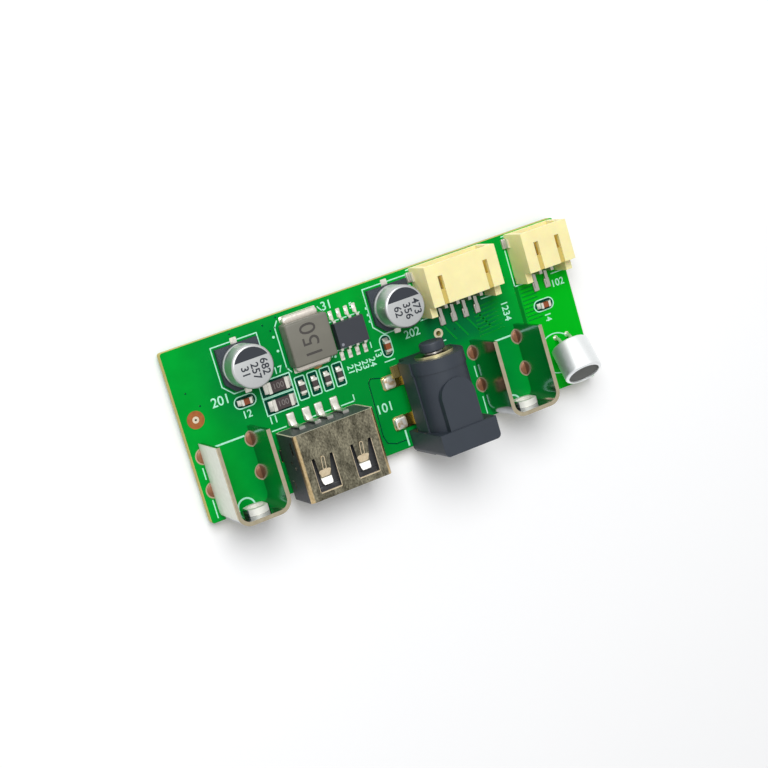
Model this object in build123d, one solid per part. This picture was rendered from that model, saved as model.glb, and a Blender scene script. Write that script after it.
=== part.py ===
from build123d import *
import math
import os

os.makedirs("parts", exist_ok=True)

# A small DC-DC adapter board: USB-A and power mouths on the front edge, wire headers on the
# back edge, two panel brackets, a step-down converter and an electret microphone.
# +X runs along the long edge, +Y to the back edge and +Z out of the component side.
# The board stands on the soldered tabs and leads under it, which end at Z = 0.

# ---------------------------------------------------------------- circuit board
board_length = 65.0
board_width = 25.4
board_thickness = 1.4
board_corner = 0.4
tail = 1.0                    # tabs and leads end this far below the board
mouth_overhang = 0.9          # the USB and power mouths stand this far before the front edge
hole_clearance = 0.15         # between a lead and its hole, on each side

left_edge = -board_length / 2
front_edge = (mouth_overhang - board_width) / 2
back_edge = front_edge + board_width
board_top = tail + board_thickness

ring_hole = 0.9               # plain hole with a bare copper ring, near the left edge
ring_hole_from_left = 2.2
ring_hole_from_front = 14.9
via_hole = 0.7                # plated hole behind the power jack
via_from_left = 41.65
via_from_front = 14.6

# ---------------------------------------------------------------- panel brackets
bracket_width = 8.3
bracket_length = 12.0
bracket_height = 8.0
bracket_sheet = 0.6
bracket_bend = 2.0            # outside radius of the two front bends
bracket_tab_width = 1.1
bracket_tabs_from_front = (5.0, 10.05)
bracket_tab_hole = 1.5
screw_hole = 2.5              # core of an M3 thread
collar_diameter = 3.8
collar_length = 1.0
screw_height = 4.0
left_bracket_place = (5.55, -0.4)      # centre from the left edge, front from the front edge
right_bracket_place = (50.3, 0.0)

# ---------------------------------------------------------------- USB-A receptacle
usb_from_left = 19.2
usb_width = 13.0
usb_depth = 10.0
usb_height = 7.1
usb_sheet = 0.3
usb_fold = 0.7                # outside radius of the folds along the shell
usb_finger_offset = 3.07      # finger centres from the middle of the shell
usb_window_width = 3.35
usb_window_length = 5.0
usb_window_from_mouth = 1.05
usb_finger_root = 2.4
usb_finger_tip = 1.5
usb_finger_gap = 0.75         # from a finger's tip to the front of its window
usb_finger_dip = 0.75         # how far a finger leans into the shell
usb_finger_lip = 1.05         # upturned end of a finger
usb_leg_width = 1.6
usb_leg_from_mouth = 6.6
usb_leg_below = 0.6
usb_rib_width = 0.5           # rib pressed up along the back half of each finger
usb_rib_length = 2.0
usb_rib_height = 0.12
usb_side_slot = (2.0, 0.6)
usb_side_slot_place = (8.0, 5.3)   # middle of the slot from the mouth and above the board
usb_side_hole = 0.5
usb_side_hole_place = (5.9, 3.8)
usb_dimple = 0.5                   # round dimple pressed out of each side wall
usb_dimple_place = (5.1, 4.7)
usb_latch = (1.2, 0.7)             # latch tab that stands out of each side wall
usb_latch_place = (2.4, 2.15)
usb_side_relief = 0.1              # how far the dimple and the latch stand out
usb_tongue_width = 11.0
usb_tongue_thickness = 1.8
usb_tongue_height = 3.9       # underside of the tongue above the board
usb_tongue_setback = 1.6
usb_block_depth = 2.3
usb_contact_offsets = (-3.5, -1.0, 1.0, 3.5)
usb_contact_width = 0.9
usb_contact_sheet = 0.2
usb_contact_behind = 0.3      # upright run of a contact, behind the shell
usb_foot_reach = 2.0          # contact feet end this far behind the shell
usb_solder_start = 0.65       # solder on the feet, from the back of the shell
usb_solder_length = 1.3
usb_insulator_gap = 0.05      # between the block and the shell

# ---------------------------------------------------------------- power jack
jack_from_left = 37.35
jack_flange_width = 9.2
jack_height = 11.0
jack_flange_depth = 3.3
jack_flange_corner = 0.7      # rounding of its two upright edges at the mouth
jack_depth = 13.9             # mouth to back wall
jack_body_width = 8.5
jack_axis_height = 6.25
jack_bore = 6.3
jack_bore_depth = 10.0
jack_pin = 2.0
jack_pin_setback = 0.9
jack_pin_tip = 0.5            # length of the tapered tip
jack_pin_shank = 1.5          # thinner end of the pin, riveted through the back wall
jack_panel_width = 5.4        # raised panel on top, half round at its back end
jack_panel_end = 10.6         # its back end, from the mouth
jack_panel_drop = 0.25        # its face below the top of the flange
jack_band_depth = 1.9         # thicker band round the back of the body
jack_band_rise = 0.15
jack_crown_step = 0.2         # ledge between the upright sides and the half-round top
jack_side_recess_height = 2.5
jack_side_recess_depth = 1.2
jack_sheet = 0.3
jack_tab_reach = 2.3          # soldered tabs stand out this far beside the body
jack_tab_width = 2.0
jack_tabs_from_mouth = (4.95, 11.2)
jack_lug_width = 1.8
jack_lug_reach = 2.6
jack_solder_inset = 0.25      # solder ends this far inside the edges of a tab
jack_contact_clearance = 0.1
jack_disc = 5.8               # brass disc on the back wall
jack_disc_thickness = 0.4
jack_boss = 4.0
jack_boss_length = 1.7
jack_boss_chamfer = 0.3
jack_peg = 1.6
jack_peg_depth = 1.1
jack_pegs_from_mouth = (4.5, 9.5)

# ---------------------------------------------------------------- wire headers
header_pitch = 2.0
header_end_margin = 5.9       # body width beyond the span of its pins
header_height = 5.5
header_depth = 6.1
header_wall = 0.8
header_back_wall = 1.4
header_pin = 0.5
header_pin_setback = 0.6      # pin tips behind the mouth
header_foot_reach = 3.1
header_pin_behind = 0.7       # upright run of a pin, behind the far wall
header_solder_length = 0.9
header_solder_beyond = 0.2
header_four_pin_count = 4
header_two_pin_count = 2
header_wing_width = 1.0
header_wing_depth = 1.6
header_wing_height = 3.7
header_slot_width = 0.75
header_slot_beyond_pins = 0.8
header_slot_from_mouth = 1.8
header_slot_through = 2.1     # length that opens into the cavity
header_groove_depth = 0.35
header_setback = 0.1          # mouth from the back edge of the board
header_anchor_width = 1.4
header_anchor_reach = 0.75
header_anchor_height = 1.2
header_anchor_sheet = 0.3
header_anchor_from_mouth = 0.6
header_four_from_left = 45.75
header_two_from_left = 60.2

# ---------------------------------------------------------------- electrolytic capacitors
can_diameter = 6.3
can_height = 5.4              # top above the board
can_top_chamfer = 0.3
can_groove_height = 1.75
can_groove = 0.25
cap_base = 6.5
cap_base_height = 0.9
cap_base_chamfer = 1.3
cap_lead_width = 0.8
cap_lead_sheet = 0.2
cap_lead_reach = 0.55
cap_lead_cover = 0.45         # length of a lead inside the base
capacitor_one_place = (10.9, 20.15)
capacitor_two_place = (35.5, 20.9)

# ---------------------------------------------------------------- inductor
inductor_width = 6.75
inductor_depth = 6.45
inductor_height = 2.9
inductor_standoff = 0.15
inductor_corner = 0.35
inductor_top_chamfer = 0.12
inductor_place = (21.2, 20.5)
inductor_terminal_width = 5.6
inductor_terminal_height = 1.1
inductor_terminal_reach = 0.95
inductor_terminal_wrap = 0.5
inductor_terminal_chamfer = 0.3
inductor_terminal_corner = 0.85

# ---------------------------------------------------------------- converter chip
chip_width = 4.9
chip_depth = 3.9
chip_height = 1.55
chip_standoff = 0.12
chip_draft = 8.0              # degrees that the sides lean in above and below the leads
chip_place = (27.95, 19.45)
chip_lead_pitch = 1.27
chip_lead_count = 8
chip_lead_width = 0.42
chip_lead_sheet = 0.2
chip_lead_height = 0.75
chip_lead_span = 6.1
chip_lead_hidden = 0.3        # length of a lead inside the package
chip_lead_shoulder = 0.25     # level run outside the package
chip_lead_ankle = 0.5         # where the lead reaches its pad

# ---------------------------------------------------------------- chip resistors and capacitors
large_resistor = (3.2, 1.6, 0.55)
large_resistor_end = 0.5
large_resistor_places = ((15.2, 15.6), (15.2, 13.0))
small_resistor = (1.6, 0.8, 0.45)
small_resistor_end = 0.35
small_resistor_row_start = 18.7
small_resistor_step = 2.02
small_resistor_count = 4
small_resistor_from_front = 14.0
chip_capacitor = (1.6, 0.8, 0.8)
chip_capacitor_end = 0.35
chip_capacitor_places = ((9.95, 15.0, 0), (33.1, 15.5, 90))
filter_capacitor_before_header = 2.9   # third capacitor, from the feet of the two-pin header
filter_capacitor_shift = -0.45
end_plating = 0.04            # metal ends stand this far proud of a chip body

# ---------------------------------------------------------------- microphone
mic_diameter = 5.9
mic_length = 5.2
mic_shell = 0.25
mic_chamfer = 0.25
mic_back_from_left = 60.75
mic_back_from_front = 6.45
mic_back_height = 2.65        # centre of the back disc above the board
mic_tilt = 34.0               # mouth tilted up from the board
mic_turn = -5.0               # and turned towards the left edge
mic_felt_recess = 0.1
mic_felt_thickness = 0.5
mic_disc_recess = 0.3
mic_disc_thickness = 0.6
mic_lead = 0.5
mic_lead_pitch = 2.0
mic_lead_shift = 0.45
mic_lead_straight = 0.9       # before the first bend
mic_lead_bulge = 0.25         # how far the bend swings out
mic_lead_rise = 0.3           # last bend above the board
mic_lead_pad = 1.6
mic_holes_from_front = 7.7

# ---------------------------------------------------------------- solder
solder_pad = 2.4              # round pads of the bracket tabs
solder_cone = 0.7
solder_mound = 0.35           # height of solder on a surface pad
solder_sides = 12             # solder in a hole is modelled with flat sides
lead_sides = 8                # and so are the thin round leads
solder_spread = 0.2           # solder beyond a foot, on each side

mic_lead_hole_size = mic_lead + 2 * hole_clearance


# ================================================================ helpers
def on_board(from_left, from_front, above=0.0):
    """Location measured from the front-left corner of the component side."""
    return Pos(left_edge + from_left, front_edge + from_front, board_top + above)


def block(width, depth, height, *axes_from_zero):
    """Box standing on Z = 0, centred in X and Y unless an axis is named as starting at zero."""
    low = Align.MIN
    mid = Align.CENTER
    return Box(width, depth, height,
               align=(low if "x" in axes_from_zero else mid,
                      low if "y" in axes_from_zero else mid,
                      low))


def post(diameter, height):
    """Cylinder standing on Z = 0."""
    return Cylinder(diameter / 2, height, align=(Align.CENTER, Align.CENTER, Align.MIN))


def rod_back(diameter, length):
    """Cylinder lying along Y, from Y = 0 backwards."""
    return Rot(-90, 0, 0) * post(diameter, length)


def solder_plug(hole, pad, depth, cone):
    """Solder that fills a plated hole downwards from Z = 0 and ends in a cone under the board."""
    fill = extrude(RegularPolygon(hole / 2, solder_sides), -depth)
    slope = math.degrees(math.atan2((pad - hole) / 2, cone))
    tip = extrude(RegularPolygon(pad / 2, solder_sides), cone, taper=slope)
    return fill + Pos(0, 0, -depth) * Rot(180, 0, 0) * tip


def side_profile(points, width):
    """Prism across X, centred, from a closed outline given as (y, z) points."""
    outline = Plane.YZ * make_face(Polyline(*points, close=True))
    return extrude(outline, width / 2, both=True)


def bent_strip(points, sheet, width):
    """Flat strip with mitred bends whose middle follows (y, z) points, centred across X."""
    def square_to(first, second):
        run = math.hypot(second[0] - first[0], second[1] - first[1])
        return ((first[1] - second[1]) / run, (second[0] - first[0]) / run)

    upper = []
    lower = []
    for i, point in enumerate(points):
        before = square_to(points[max(i - 1, 0)], points[max(i, 1)])
        after = square_to(points[min(i, len(points) - 2)], points[min(i + 1, len(points) - 1)])
        reach = sheet / (1 + before[0] * after[0] + before[1] * after[1])
        across = ((before[0] + after[0]) * reach / 2, (before[1] + after[1]) * reach / 2)
        upper.append((point[0] + across[0], point[1] + across[1]))
        lower.insert(0, (point[0] - across[0], point[1] - across[1]))
    return side_profile(upper + lower, width)


def save(part, name, colour):
    """Write one sub-part as its own file."""
    part.label = name
    part.color = Color(*colour)
    export_step(part, "parts/" + name + ".step")


def together(*solids):
    """Several separate solids kept in one sub-part."""
    flat = []
    for item in solids:
        flat.extend(item.solids())
    return Compound(children=flat)


GREEN = (0.0, 0.5, 0.15)
TIN = (0.75, 0.74, 0.68)
STEEL = (0.8, 0.79, 0.72)
NICKEL = (0.45, 0.42, 0.38)
BRASS = (0.8, 0.62, 0.3)
BLACK = (0.1, 0.1, 0.12)
CREAM = (0.95, 0.9, 0.7)
CERAMIC = (0.5, 0.3, 0.15)


# ================================================================ panel brackets
def u_plan(width, length, corner):
    """Plan of a U: square behind, rounded at the two front corners, front at Y = 0."""
    plan = Pos(0, length / 2) * Rectangle(width, length)
    return fillet(plan.vertices().sort_by(Axis.Y)[:2], corner)


def bracket():
    """Strip folded to a U, with a drawn and tapped collar in its front and four solder tabs."""
    outer = extrude(u_plan(bracket_width, bracket_length, bracket_bend), bracket_height)
    inner = extrude(u_plan(bracket_width - 2 * bracket_sheet, bracket_length,
                           bracket_bend - bracket_sheet), bracket_height)
    body = outer - Pos(0, bracket_sheet, 0) * inner
    body += Pos(0, bracket_sheet, screw_height) * rod_back(collar_diameter, collar_length)
    body -= Pos(0, 0, screw_height) * rod_back(screw_hole, bracket_sheet + collar_length)
    for x, y in bracket_tab_centres():
        tab_length = board_thickness + tail
        body += Pos(x, y, -tab_length) * block(bracket_sheet, bracket_tab_width, tab_length)
    return body


def bracket_tab_centres():
    """Tab centres in the bracket's own plan."""
    across = (bracket_width - bracket_sheet) / 2
    return [(side * across, y) for y in bracket_tabs_from_front for side in (-1, 1)]


def bracket_solder():
    """Solder round each tab: a filled hole and a cone underneath."""
    joints = []
    body = bracket()
    for x, y in bracket_tab_centres():
        plug = solder_plug(bracket_tab_hole, solder_pad, board_thickness, solder_cone)
        joints.append(Pos(x, y, 0) * plug - body)
    return joints


bracket_places = {"left": left_bracket_place, "right": right_bracket_place}


# ================================================================ USB-A receptacle
usb_place = on_board(usb_from_left, -mouth_overhang)
usb_mouth_plane = Plane.XZ          # sketches here look backwards from the mouth


def usb_section(shrink):
    """Closed section of the shell in X and Z, standing on the board."""
    width = usb_width - 2 * shrink
    height = usb_height - 2 * shrink
    corner = usb_fold - shrink
    section = RectangleRounded(width, height, corner)
    return Plane.XZ * Pos(0, usb_height / 2) * section


def usb_finger():
    """Spring finger that hangs from the back of its window, dips in and turns up at the tip."""
    root = usb_window_from_mouth + usb_window_length
    tip = usb_window_from_mouth + usb_finger_gap
    knee = tip + usb_finger_lip
    high = usb_height - usb_sheet / 2
    low = high - usb_finger_dip
    strip = bent_strip([(root + usb_sheet, high), (root, high), (knee, low),
                        (tip, low + usb_finger_dip / 2)], usb_sheet, usb_finger_root)
    plan = Polyline((-usb_finger_root / 2, root + usb_sheet), (-usb_finger_root / 2, root),
                    (-usb_finger_tip / 2, tip + usb_sheet), (-usb_finger_tip / 3, tip - usb_sheet),
                    (usb_finger_tip / 3, tip - usb_sheet), (usb_finger_tip / 2, tip + usb_sheet),
                    (usb_finger_root / 2, root), (usb_finger_root / 2, root + usb_sheet),
                    close=True)
    return strip & extrude(make_face(plan), usb_height)


def usb_finger_rib():
    """Rounded rib pressed up along a finger, from its root towards the knee."""
    root = usb_window_from_mouth + usb_window_length
    knee = usb_window_from_mouth + usb_finger_gap + usb_finger_lip
    high = usb_height - usb_sheet / 2 + usb_rib_height
    fall = usb_finger_dip * usb_rib_length / (root - knee)
    strip = bent_strip([(root, high), (root - usb_rib_length, high - fall)],
                       usb_sheet, usb_rib_width)
    plan = Pos(0, root - usb_rib_length / 2) * SlotOverall(usb_rib_length, usb_rib_width, 90)
    return strip & extrude(plan, 2 * usb_height)


def usb_window():
    """Window in the top of the shell round one finger, rounded where the slots end."""
    plan = Pos(0, usb_window_length / 2) * Rectangle(usb_window_width, usb_window_length)
    plan = fillet(plan.vertices(), (usb_window_width - usb_finger_root) / 5)
    depth = usb_height / 2
    return Pos(0, usb_window_from_mouth, depth) * extrude(plan, depth)


def usb_shell():
    """Folded steel shell, open at the mouth and behind, with two fingers and two board legs."""
    shell = extrude(usb_section(0), -usb_depth) - extrude(usb_section(usb_sheet), -usb_depth)
    for side in (-1, 1):
        across = side * usb_finger_offset
        shell -= Pos(across, 0, 0) * usb_window()
        shell += Pos(across, 0, 0) * (usb_finger() + usb_finger_rib())
        wall = side * (usb_width - usb_sheet) / 2
        slot = Rot(0, 90, 0) * extrude(SlotOverall(usb_side_slot[0], usb_side_slot[1], 90),
                                       usb_fold, both=True)
        shell -= Pos(wall, *usb_side_slot_place) * slot
        hole = Rot(0, 90, 0) * extrude(RegularPolygon(usb_side_hole / 2, lead_sides),
                                       usb_fold, both=True)
        shell -= Pos(wall, *usb_side_hole_place) * hole
        relief = usb_sheet / 2 + usb_side_relief
        dimple = Rot(0, side * 90, 0) * extrude(RegularPolygon(usb_dimple / 2, lead_sides), relief)
        shell += Pos(wall, *usb_dimple_place) * dimple
        latch = Rot(0, side * 90, 0) * extrude(Rectangle(usb_latch[1], usb_latch[0]), relief)
        shell += Pos(wall, *usb_latch_place) * latch
        leg_length = board_thickness + usb_leg_below
        leg = block(usb_sheet, usb_leg_width, leg_length + usb_fold)
        shell += Pos(wall, usb_leg_from_mouth, -leg_length) * leg
    return shell


def usb_contact():
    """One contact: under the tongue, through the block, down behind it and out to its foot."""
    under = usb_tongue_height - usb_contact_sheet / 2
    foot = usb_contact_sheet / 2
    back = usb_depth + usb_contact_behind
    return bent_strip([(usb_tongue_setback + 0.8, under), (back, under), (back, foot),
                       (usb_depth + usb_foot_reach, foot)], usb_contact_sheet, usb_contact_width)


def usb_insulator():
    """Moulded block that closes the back of the shell, with the tongue in the mouth."""
    inside = extrude(usb_section(usb_sheet + usb_insulator_gap), -usb_depth)
    block_front = usb_depth - usb_block_depth
    keep = Pos(0, block_front, 0) * block(usb_width, usb_block_depth, usb_height, "y")
    body = inside & keep
    tongue_length = block_front - usb_tongue_setback
    tongue = Pos(0, usb_tongue_setback, usb_tongue_height) * block(
        usb_tongue_width, tongue_length, usb_tongue_thickness, "y")
    body += tongue
    for across in usb_contact_offsets:
        body -= Pos(across, 0, 0) * usb_contact()
    return body


def foot_solder(width, length, start, height=solder_mound):
    """Mound of solder round a foot that runs backwards from Y = start."""
    mound = block(width + 2 * solder_spread, length + 2 * solder_spread, height)
    mound = chamfer(mound.edges().group_by(Axis.Z)[-1], height * 0.75, solder_spread * 0.9)
    return Pos(0, start + length / 2, 0) * mound


def usb_solder():
    """Solder on the four feet, with the contacts inside it."""
    mounds = []
    for across in usb_contact_offsets:
        mound = foot_solder(usb_contact_width, usb_solder_length, usb_depth + usb_solder_start)
        mounds.append(Pos(across, 0, 0) * (mound - usb_contact()))
    return mounds


# ================================================================ power jack
jack_place = on_board(jack_from_left, -mouth_overhang)


def jack_section(grow):
    """Section of the jack body: upright sides under a half-round top."""
    radius = jack_body_width / 2 + grow
    ledge = jack_axis_height + jack_crown_step
    trunk = Pos(0, ledge / 2) * Rectangle(2 * radius, ledge)
    crown = Pos(0, ledge) * Circle(radius - jack_crown_step)
    return Plane.XZ * (trunk + crown)


def jack_housing():
    """Moulded housing: square flange round the mouth, half-round body and a raised top panel."""
    flange = block(jack_flange_width, jack_flange_depth, jack_height, "y")
    flange = fillet(flange.edges().filter_by(Axis.Z).group_by(Axis.Y)[0], jack_flange_corner)
    body = extrude(jack_section(0), -jack_depth)
    band_start = jack_depth - jack_band_depth
    body += Pos(0, band_start, 0) * extrude(jack_section(jack_band_rise), -jack_band_depth)
    body += flange
    panel_centre = jack_panel_end - jack_panel_width / 2
    panel = Pos(0, panel_centre / 2) * Rectangle(jack_panel_width, panel_centre)
    panel += Pos(0, panel_centre) * Circle(jack_panel_width / 2)
    panel_height = jack_height - jack_panel_drop - jack_axis_height
    body += Pos(0, 0, jack_axis_height) * extrude(panel, panel_height)
    for side in (-1, 1):
        edge = side * (jack_body_width / 2 + jack_band_rise)
        recess = block(2 * (jack_side_recess_depth + jack_band_rise),
                       jack_depth - jack_flange_depth, jack_side_recess_height, "y")
        body -= Pos(edge, jack_flange_depth, 0) * recess
    body -= Pos(0, 0, jack_axis_height) * rod_back(jack_bore, jack_bore_depth)
    body -= Pos(0, 0, jack_axis_height) * rod_back(jack_pin_shank, jack_depth)
    body += Pos(0, 0, -jack_peg_depth) * jack_pegs()
    return body


def jack_pegs():
    pegs = Part()
    for y in jack_pegs_from_mouth:
        pegs += Pos(0, y, 0) * post(jack_peg, jack_peg_depth)
    return pegs


def jack_centre_pin():
    """Round pin with a tapered tip, and a thinner shank riveted through the back wall."""
    pin = rod_back(jack_pin, jack_bore_depth - jack_pin_setback)
    pin = chamfer(pin.edges().sort_by(Axis.Y)[0], jack_pin_tip, jack_pin / 8)
    pin += rod_back(jack_pin_shank, jack_depth + jack_disc_thickness - jack_pin_setback)
    return Pos(0, jack_pin_setback, jack_axis_height) * pin


def jack_back_disc():
    """Brass disc held on the back wall by the riveted shank of the centre pin."""
    disc = rod_back(jack_disc, jack_disc_thickness)
    disc -= rod_back(jack_pin_shank, jack_disc_thickness)
    return Pos(0, jack_depth, jack_axis_height) * disc


def jack_back_boss():
    """Black insulating cap over the riveted end of the pin."""
    boss = rod_back(jack_boss, jack_boss_length)
    boss = chamfer(boss.edges().sort_by(Axis.Y)[-1], jack_boss_chamfer)
    return Pos(0, jack_depth + jack_disc_thickness, jack_axis_height) * boss


def jack_side_contact(with_lug):
    """Strip in the side recess with two tabs out to the board, on the left side."""
    inner = jack_body_width / 2 - jack_side_recess_depth
    wall = inner + jack_sheet
    first, last = jack_tabs_from_mouth
    length = last - first + jack_tab_width
    start = first - jack_tab_width / 2
    height = jack_side_recess_height - jack_contact_clearance
    strip = Pos(-wall, start, 0) * block(jack_sheet, length, height, "x", "y")
    reach = jack_body_width / 2 + jack_tab_reach - wall
    for y in jack_tabs_from_mouth:
        strip += Pos(-wall - reach / 2, y, 0) * block(reach, jack_tab_width, jack_sheet)
    if with_lug:
        lug = block(jack_lug_reach, jack_lug_width, jack_sheet, "y")
        lug_middle = -wall + jack_sheet - jack_lug_reach / 2
        strip += Pos(lug_middle, start + length - jack_sheet, height - jack_sheet) * lug
    return strip


def jack_solder():
    """Solder over the outer end of each tab."""
    mounds = []
    length = jack_tab_reach - 2 * jack_solder_inset
    width = jack_tab_width - 2 * jack_solder_inset
    for side in (-1, 1):
        outer = (jack_body_width + jack_tab_reach) / 2 + jack_solder_inset
        for y in jack_tabs_from_mouth:
            mound = block(length, width, solder_mound)
            mound = chamfer(mound.edges().group_by(Axis.Z)[-1], solder_mound / 2)
            mounds.append(Pos(side * outer, y, jack_sheet) * mound)
    return mounds


# ================================================================ wire headers
def header_width(pins):
    return (pins - 1) * header_pitch + header_end_margin


def header_offsets(pins):
    return [(i - (pins - 1) / 2) * header_pitch for i in range(pins)]


def header_housing(pins):
    """Side-entry shell: mouth at Y = 0 facing backwards, pins through the far wall."""
    width = header_width(pins)
    front = -header_depth
    body = Pos(0, front, 0) * block(width, header_depth, header_height, "y")
    cavity_depth = header_depth - header_back_wall
    cavity = block(width - 2 * header_wall, cavity_depth, header_height - 2 * header_wall, "y")
    body -= Pos(0, -cavity_depth, header_wall) * cavity
    for side in (-1, 1):
        wing = block(header_wing_width, header_wing_depth, header_wing_height, "y")
        across = side * (width - header_wing_width) / 2
        body += Pos(across, front - header_wing_depth, 0) * wing
        slot_x = side * ((pins - 1) * header_pitch / 2 + header_slot_beyond_pins)
        slot = block(header_slot_width, header_slot_through, header_wall, "y")
        slot_front = -header_slot_from_mouth - header_slot_through
        body -= Pos(slot_x, slot_front, header_height - header_wall) * slot
        groove = block(header_slot_width, slot_front - front, header_groove_depth, "y")
        body -= Pos(slot_x, front, header_height - header_groove_depth) * groove
    for across in header_offsets(pins):
        body -= Pos(across, 0, 0) * header_contact()
    return body


def header_contact():
    """Square pin through the far wall, bent down to its foot on the board."""
    level = header_height / 2
    foot = header_pin / 2
    drop = -header_depth - header_pin_behind
    return bent_strip([(-header_pin_setback, level), (drop, level), (drop, foot),
                       (-header_depth - header_foot_reach, foot)], header_pin, header_pin)


def header_pins(pins):
    return [Pos(across, 0, 0) * header_contact() for across in header_offsets(pins)]


def header_anchors(pins):
    """Metal hold-downs soldered beside the mouth."""
    anchors = []
    for side in (-1, 1):
        across = side * (header_width(pins) + header_anchor_reach) / 2
        centre = -header_anchor_from_mouth - header_anchor_width / 2
        foot = Pos(across, centre, 0) * block(header_anchor_reach, header_anchor_width,
                                              header_anchor_sheet)
        inner = side * (header_width(pins) + header_anchor_sheet) / 2
        foot += Pos(inner, centre, 0) * block(header_anchor_sheet, header_anchor_width,
                                              header_anchor_height)
        anchors.append(foot)
    return anchors


def header_solder(pins):
    """Mounds of solder at the ends of the feet."""
    mounds = []
    for across in header_offsets(pins):
        start = -header_depth - header_foot_reach - header_solder_beyond
        mound = foot_solder(header_pin, header_solder_length, start)
        mounds.append(Pos(across, 0, 0) * (mound - header_contact()))
    return mounds


headers = {"four_pin": (header_four_pin_count, header_four_from_left),
           "two_pin": (header_two_pin_count, header_two_from_left)}


# ================================================================ electrolytic capacitors
def capacitor_can():
    """Turned outline of an aluminium can with the crimp groove that holds its bung."""
    radius = can_diameter / 2
    outline = Polyline((0, cap_base_height), (radius, cap_base_height),
                       (radius, can_groove_height - can_groove),
                       (radius - can_groove, can_groove_height),
                       (radius, can_groove_height + can_groove),
                       (radius, can_height - can_top_chamfer),
                       (radius - can_top_chamfer, can_height), (0, can_height), close=True)
    return revolve(Plane.XZ * make_face(outline), Axis.Z)


def capacitor_base():
    """Square moulded base with two corners cut on the front side."""
    plan = Rectangle(cap_base, cap_base)
    plan = chamfer(plan.vertices().sort_by(Axis.Y)[:2], cap_base_chamfer)
    base = extrude(plan, cap_base_height)
    for side in (-1, 1):
        notch = block(cap_lead_width, 2 * cap_lead_cover, cap_lead_sheet)
        base -= Pos(0, side * cap_base / 2, 0) * notch
    return base


def capacitor_leads():
    leads = []
    inner = cap_base / 2 - cap_lead_cover
    outer = cap_base / 2 + cap_lead_reach
    for side in (-1, 1):
        lead = block(cap_lead_width, outer - inner, cap_lead_sheet)
        leads.append(Pos(0, side * (inner + outer) / 2, 0) * lead)
    return leads


capacitors = {"one": capacitor_one_place, "two": capacitor_two_place}


# ================================================================ inductor
def inductor_body():
    """Moulded ferrite block with broken vertical corners."""
    plan = Rectangle(inductor_width, inductor_depth)
    plan = chamfer(plan.vertices(), inductor_corner)
    height = inductor_height - inductor_standoff
    body = Pos(0, 0, inductor_standoff) * extrude(plan, height)
    body = chamfer(body.edges().group_by(Axis.Z)[-1], inductor_top_chamfer)
    for side in (-1, 1):
        body -= Pos(0, side * inductor_depth / 2, 0) * inductor_pocket()
    return body


def inductor_pocket():
    return block(inductor_terminal_width, 2 * inductor_terminal_wrap, inductor_terminal_height)


def inductor_terminals():
    """Broad tinned terminals that wrap under the block and stand out with rounded corners."""
    terminals = []
    for side in (-1, 1):
        inner = inductor_depth / 2 - inductor_terminal_wrap
        outer = inductor_depth / 2 + inductor_terminal_reach
        plan = Rectangle(inductor_terminal_width, outer - inner)
        corners = plan.vertices().sort_by(Axis.Y)
        plan = fillet(corners[-2:], inductor_terminal_corner)
        shape = extrude(plan, inductor_terminal_height)
        top = shape.faces().sort_by(Axis.Z)[-1]
        shape = chamfer(top.edges().sort_by(Axis.Y)[-3:], inductor_terminal_chamfer)
        shape = Pos(0, (inner + outer) / 2, 0) * shape
        terminals.append(Rot(0, 0, 0 if side > 0 else 180) * shape)
    return terminals


# ================================================================ converter chip
def chip_body():
    """Moulded package, widest at the leads and drafted above and below them."""
    waist = chip_lead_height
    plan = Rectangle(chip_width, chip_depth)
    upper = extrude(plan, chip_height - waist, taper=chip_draft)
    lower = Rot(180, 0, 0) * extrude(plan, waist - chip_standoff, taper=chip_draft)
    body = Pos(0, 0, waist) * (upper + lower)
    for lead in chip_leads():
        body -= lead
    return body


def chip_leads():
    """Gull-wing leads, four to a side."""
    leads = []
    level = chip_lead_height
    foot = chip_lead_sheet / 2
    start = chip_depth / 2 - chip_lead_hidden
    shoulder = chip_depth / 2 + chip_lead_shoulder
    ankle = chip_depth / 2 + chip_lead_ankle
    toe = chip_lead_span / 2
    in_row = chip_lead_count // 2
    for i in range(in_row):
        across = (i - (in_row - 1) / 2) * chip_lead_pitch
        for turn in (0, 180):
            lead = bent_strip([(start, level), (shoulder, level), (ankle, foot), (toe, foot)],
                              chip_lead_sheet, chip_lead_width)
            leads.append(Rot(0, 0, turn) * Pos(across, 0, 0) * lead)
    return leads


# ================================================================ chip resistors and capacitors
def chip_core(size, end):
    """Ceramic body between its two metal ends, long side along X."""
    length, width, height = size
    return Pos(0, 0, end_plating) * block(length - 2 * end, width, height - end_plating)


def chip_ends(size, end):
    length, width, height = size
    ends = []
    for side in (-1, 1):
        cap = block(end, width + 2 * end_plating, height + end_plating)
        ends.append(Pos(side * (length - end) / 2, 0, 0) * cap)
    return ends


# ================================================================ microphone
def mic_axes():
    """Location at the middle of the capsule's back, +Z along its axis to the mouth."""
    here = on_board(mic_back_from_left, mic_back_from_front, mic_back_height)
    return here * Rot(0, 0, mic_turn) * Rot(90 - mic_tilt, 0, 0)


def mic_can():
    """Drawn aluminium capsule, open behind, with a large round mouth."""
    can = post(mic_diameter, mic_length)
    can = chamfer(can.edges().sort_by(Axis.Z)[-1], mic_chamfer)
    inside = mic_diameter - 2 * mic_shell
    can -= post(inside, mic_length - mic_shell)
    can -= post(mic_mouth(), mic_length)
    return can


def mic_mouth():
    return mic_diameter - 2 * (mic_shell + mic_chamfer)


def mic_felt():
    """Felt disc behind the rim of the mouth, bulging into it."""
    inside = mic_diameter - 2 * mic_shell
    back = mic_length - mic_shell - mic_felt_thickness
    felt = Pos(0, 0, back) * post(inside, mic_felt_thickness)
    felt += Pos(0, 0, back) * post(mic_mouth(), mic_length - mic_felt_recess - back)
    return felt


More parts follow.
